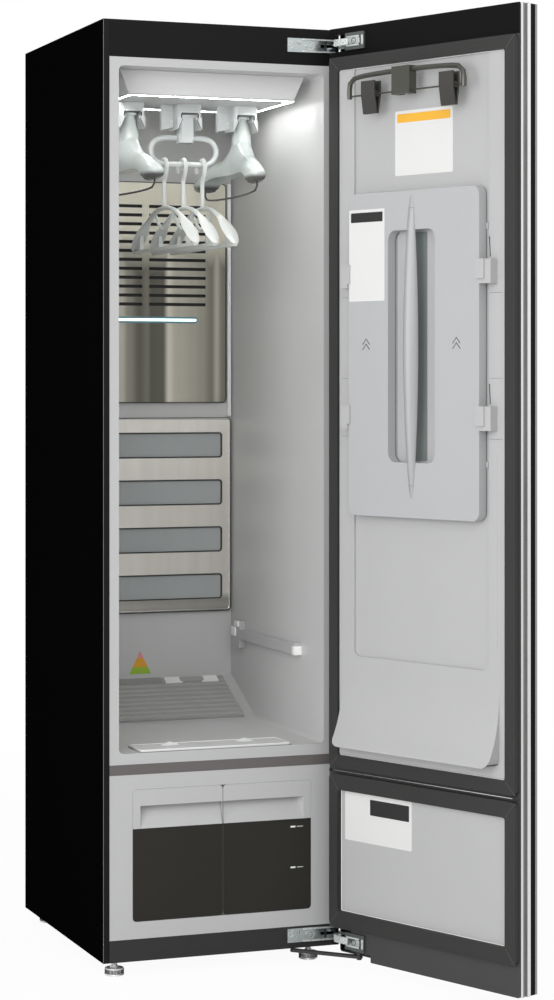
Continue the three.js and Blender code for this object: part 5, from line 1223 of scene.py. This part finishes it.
def door_trim():
    for node, across_band in GASKET_BANDS.items():
        gasket_trim(node, across_band)
    upper_low = measured("gasket_upper", closed_point)[0].z
    seam = (upper_low + measured("gasket_lower", closed_point)[1].z) / 2
    line = [(across, SEAM_DEPTH, seam) for across in SEAM_ENDS]
    beads("gasket_seam", strokes(line), 2.6, BRUSHED_TRIM, DOOR, "zinc")
    dots = [(across, DOT_DEPTH, seam) for across in DOT_ENDS]
    grown(
        "gasket_dots", HEADS, (dots, []), DOOR, "gasket", Radius=3.6, Height=3.0, Turn=BACKWARD, Recess=0.0,
        Finish=SEAL, Recess_finish=SEAL,
    )
    side = measured("door_liner", closed_point)[1].x
    shape = bmesh.new()
    # White beads round the liner and lower panel: painted highlight of their edges
    for name, node, corner, depth, thickness in RIM_HIGHLIGHTS:
        box = low, high = measured(node, closed_point)
        rim = framed(inset_outline(box, RIM_INSET, corner), depth)
        beads(name, loops(rim), thickness, WHITE_MOULDING, DOOR, "pale_moulding")
        outline = box_outline(side + GAP_NEAR, side + GAP_FAR, low.z + GAP_END, high.z - GAP_END)
        slab(shape, outline, *GAP_DEPTHS)
    make_piece("hinge_side_gap", shape, DOOR, "gasket", SEAL)


# Door: the black top band, open at the hinge's pocket, and the strips of the free edge, the outermost grey
# one a painted highlight on the glass's edge
POCKET_LEFT, POCKET_PLAY = 446.0, 0.5
BAND_INSET, BAND_ABOVE_GASKET, BAND_TOP, BAND_DEPTHS = 0.4, 1.5, 0.3, (0.35, -0.5)
EDGE_STRIPS = {
    "edge_strip_inner": (-8.3, -3.0, EDGE_SILVER),
    "edge_strip_outer": (-29.8, -21.3, EDGE_SILVER),
    "edge_strip_black": (-42.8, -30.2, BLACK_BAND),
    "edge_strip_glass_highlight": (-48.8, -43.0, GLASS_EDGE_HIGHLIGHT),
}
STRIP_FOOT, STRIP_TOP, STRIP_DEPTHS = 1.5, 0.6, (-0.15, 0.6)


def edge_strips():
    low, high = measured("door_frame", closed_point)
    left, right = low.x + BAND_INSET, high.x - BAND_INSET
    bottom = measured("gasket_upper", closed_point)[1].z + BAND_ABOVE_GASKET
    top = high.z - BAND_TOP
    pocket = measured("hinge_top_door_arm", closed_point)
    below, above = pocket[0].z - POCKET_PLAY, pocket[1].z + POCKET_PLAY
    band = [(left, bottom), (right, bottom), (right, below), (POCKET_LEFT, below)]
    band += [(POCKET_LEFT, above), (right, above), (right, top), (left, top)]
    plate("top_band", band, *BAND_DEPTHS, BLACK_BAND, DOOR, "black_sheet")
    for name, (start, end, material) in EDGE_STRIPS.items():
        outline = box_outline(start, end, low.z + STRIP_FOOT, high.z - STRIP_TOP)
        plate(name, outline, *STRIP_DEPTHS, material, DOOR, "door_grey", facing=facing_side)


# Door: blank sheets where the printed ones are, with their headers, as left, right, low and high
SHEETS = (
    ("notice", "door_liner", DOOR, (165, 316, 1540, 1666), 3, (171, 310, 1643, 1660), AMBER),
    ("lower_place", "lower_door_panel", DOOR, (272, 453, 228, 324), 3, (279, 384, 284, 315), INK),
    ("press_place", "press_plate", PRESS, (322, 418, 1297, 1477), 2, (327, 413, 1452, 1471), INK),
)
SHEET_PROBE_SHARES = (0.2, 0.5, 0.8)
PAPER_RISE, PAPER_SUNK, HEADER_RISE, HEADER_CORNER = 0.35, 0.1, 0.5, 1.5


def sheets():
    for name, node, mount, sides, corner, header, material in SHEETS:
        left, right, low, high = sides
        middle = mix(left, right, 0.5)
        depth = max(door_depth(node, middle, mix(low, high, share)) for share in SHEET_PROBE_SHARES)
        outline = rounded_outline(*sides, corner, steps=3)
        near, far = depth + PAPER_RISE, depth - PAPER_SUNK
        plate(f"{name}_paper", outline, near, far, PAPER, mount, "white_plastic")
        outline = rounded_outline(*header, HEADER_CORNER, steps=2)
        plate(f"{name}_header", outline, depth + HEADER_RISE, depth, material, mount, "white_plastic")


# Press plate: chevrons, the bow's painted shadow on the slot floor, and slot line
CHEVRONS, CHEVRON_TOPS = (371.6, 134.3), (1223.0, 1213.0)
CHEVRON_HALF, CHEVRON_DROP = 9.5, 11.0
PLATE_PROBE, SLOT_PROBE = (134.3, 1215), (270, 1200)
BOW_SHADOW_SPAN, BOW_SHADOW_CORNER, SLOT_RISE, SLOT_SUNK = (231, 275, 986, 1429), 3, 0.3, 0.2
SLOT_LINE, SLOT_BEND = 311.0, 6.5
SLOT_LINE_LEVELS = (1429, 1422, 992, 985)
SLOT_OPEN = 1.0


def plate_trim():
    depth = door_depth("press_plate", *PLATE_PROBE)
    marks = []
    for middle in CHEVRONS:
        for top in CHEVRON_TOPS:
            foot = top - CHEVRON_DROP
            line = [(middle - CHEVRON_HALF, foot), (middle, top), (middle + CHEVRON_HALF, foot)]
            marks.append(framed(line, depth))
    beads("chevrons", strokes(*marks), 1.9, CHEVRON_INK, PRESS, "press_blue")
    slot_floor = door_depth("press_plate", *SLOT_PROBE)
    if slot_floor < SLOT_OPEN:
        slot_floor = door_depth("door_liner", *SLOT_PROBE)
    near, far = slot_floor + SLOT_RISE, slot_floor - SLOT_SUNK
    # A strip of painted shadow where the bow shades the slot floor
    strip = rounded_outline(*BOW_SHADOW_SPAN, BOW_SHADOW_CORNER)
    plate("bow_shadow_strip", strip, near, far, BOW_SHADOW_GREY, PRESS, "press_blue")
    places = (SLOT_LINE - SLOT_BEND, SLOT_LINE, SLOT_LINE, SLOT_LINE - SLOT_BEND)
    line = framed(zip(places, SLOT_LINE_LEVELS), near)
    beads("slot_line", strokes(line), 1.4, MARK_GREY, PRESS, "press_blue")


# Press plate: the bow handle, a spindle with a ridge
BOX_OF_BOW = measured("press_handle", closed_point)
BOW_MIDDLE = (BOX_OF_BOW[0].x + BOX_OF_BOW[1].x) / 2
BOW_LOW, BOW_HIGH = BOX_OF_BOW[0].z + 0.3, BOX_OF_BOW[1].z - 0.3
BOW_HALF, BOW_TIP_HALF, BOW_RISE, BOW_TIP_RISE, BOW_LIFT = 18.5, 2.0, 17.8, 0.6, 0.1
BOW_BULGE_POWER, BOW_RISE_POWER = 0.62, 0.75
BOW_STEPS = 48
BOW_SECTION = (
    (-1.0, 0.0), (-0.98, 0.16), (-0.8, 0.45), (-0.5, 0.74), (-0.2, 0.93), (0.05, 1.0), (0.28, 0.93),
    (0.6, 0.62), (0.88, 0.24), (1.0, 0.0),
)
BOW_SEAM_SHARES = (0.045, 0.965)


def bow():
    base = door_depth("press_plate", *PLATE_PROBE) + BOW_LIFT
    shape = bmesh.new()
    rings = []
    for k in range(BOW_STEPS + 1):
        wave = math.sin(math.pi * (k / BOW_STEPS))
        half = mix(BOW_TIP_HALF, BOW_HALF, wave**BOW_BULGE_POWER)
        rise = max(BOW_TIP_RISE, BOW_RISE * wave**BOW_RISE_POWER)
        up = mix(BOW_LOW, BOW_HIGH, k / BOW_STEPS)
        rings.append([(BOW_MIDDLE + half * across, base + rise * deep, up) for across, deep in BOW_SECTION])
    loft(shape, rings)
    piece = make_piece("bow_handle", shape, PRESS, "press_blue", HANDLE_GLOSS, smooth=50)
    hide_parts("press_handle")
    for number, share in enumerate(BOW_SEAM_SHARES):
        ring = rings[round(share * BOW_STEPS)]
        beads(f"bow_seam_{number + 1}", strokes(ring), 0.9, MARK_GREY, PRESS, "press_blue")


# Door liner: latch seams, slits and ridges
SEAM_LEVELS, SEAM_SPANS = (1306.0, 1145.5, 1031.0), ((36, 68), (428, 456))
SLIT_TOPS, SLIT_HIGH, SLIT_SIDES, SLIT_LIFT = (1412.0, 1135.0), 38, (68, 66), 0.2
RIDGE_ACROSS, RIDGE_LEVELS, RIDGE_STEP = 48.6, (640, 1000), 30


def liner_trim():
    seams = []
    for level in SEAM_LEVELS:
        seams += [laid_on_liner([(across, level) for across in span]) for span in SEAM_SPANS]
    beads("liner_seams", strokes(*seams), 0.8, MARK_GREY, DOOR, "pale_moulding")
    slits = []
    for top in SLIT_TOPS:
        slits.append(laid_on_liner(list(zip(SLIT_SIDES, (top, top - SLIT_HIGH))), lift=SLIT_LIFT))
    beads("liner_slits", strokes(*slits), 2.0, SEAL, DOOR, "gasket")
    ridge = laid_on_liner([(RIDGE_ACROSS, level) for level in RIDGE_LEVELS], lift=0.0, step=RIDGE_STEP)
    beads("liner_ridges", strokes(ridge), 1.1, MOULDING, DOOR, "pale_moulding")


for build in (
    flanges, lamp_strip, back_plate_trim, grille_trim, filter_pleats, colour_patch, wall_caps, rail_clips,
    nozzle_trim, neck_bells, wing_screws, tray_trim, hatch_rim, tank_trim, foot_rings, hinge_trim,
    back_screws, door_trim, edge_strips, sheets, plate_trim, bow, liner_trim,
):
    build()

# Floor: white to the camera, and the more so the farther away, but a plain pale surface to the light
FLOOR_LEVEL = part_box("foot_front_left")[0].z
FLOOR_HALF = 30.0
FLOOR_WHITE_SHARES = (0.95, 1.0)
FLOOR_WHITE_SPAN = (1.2, 3.5)


def make_floor():
    mesh = bpy.data.meshes.new("floor")
    outline = box_outline(-FLOOR_HALF, FLOOR_HALF, -FLOOR_HALF, FLOOR_HALF)
    mesh.from_pydata([(*corner, FLOOR_LEVEL) for corner in outline], [], [(0, 1, 2, 3)])
    floor = new_object("floor", mesh)
    material, tree, surface = new_material("pale_floor")
    fill(tree, surface, Base_Color=(0.85, 0.85, 0.85, 1), Roughness=0.6, Specular_IOR_Level=0.1)
    away = add_node(tree, "ShaderNodeVectorMath", object_place(tree), settings={"operation": "LENGTH"})
    white = remapped(tree, away.outputs["Value"], *FLOOR_WHITE_SHARES, *FLOOR_WHITE_SPAN)
    seen = add_node(tree, "ShaderNodeLightPath").outputs["Is Camera Ray"]
    share = calculated(tree, "MULTIPLY", seen, white)
    emission = add_node(tree, "ShaderNodeEmission").outputs["Emission"]
    shader = add_node(tree, "ShaderNodeMixShader", share, surface.outputs["BSDF"], emission)
    fill(tree, tree.nodes["Material Output"], Surface=shader.outputs["Shader"])
    mesh.materials.append(material)


# World: white where it is seen, directly or in a reflection, and softer as a light
WORLD_LIGHT = 0.56


def make_world():
    world = bpy.data.worlds.new("studio")
    world.use_nodes = True
    tree = world.node_tree
    rays = add_node(tree, "ShaderNodeLightPath").outputs
    seen = calculated(tree, "MAXIMUM", rays["Is Camera Ray"], rays["Is Glossy Ray"])
    seen = calculated(tree, "MAXIMUM", seen, rays["Is Transmission Ray"])
    strength = remapped(tree, seen, WORLD_LIGHT, 1.0)
    fill(tree, tree.nodes["Background"], Color=(1, 1, 1, 1), Strength=strength)
    bpy.context.scene.world = world


# Lamps: name, place, target, size and power
LAMPS = (
    ("front_lamp", (-1.6, -4.0, 2.6), (0.1, -0.1, 0.9), 3.0, 60),
    ("high_lamp", (1.0, -2.0, 4.0), (0.1, 0, 1.0), 3.0, 30),
    ("side_lamp", (-3.2, -2.6, 1.5), (0.25, 0.05, 1.0), 2.5, 70),
)


def make_lamps():
    for name, place, target, size, power in LAMPS:
        data = bpy.data.lights.new(name, "AREA")
        data.shape = "DISK"
        data.size = size
        data.energy = power
        lamp = new_object(name, data)
        lamp.location = place
        direction = Vector(target) - Vector(place)
        lamp.rotation_euler = direction.to_track_quat("-Z", "Y").to_euler()


make_floor()
make_world()
make_lamps()
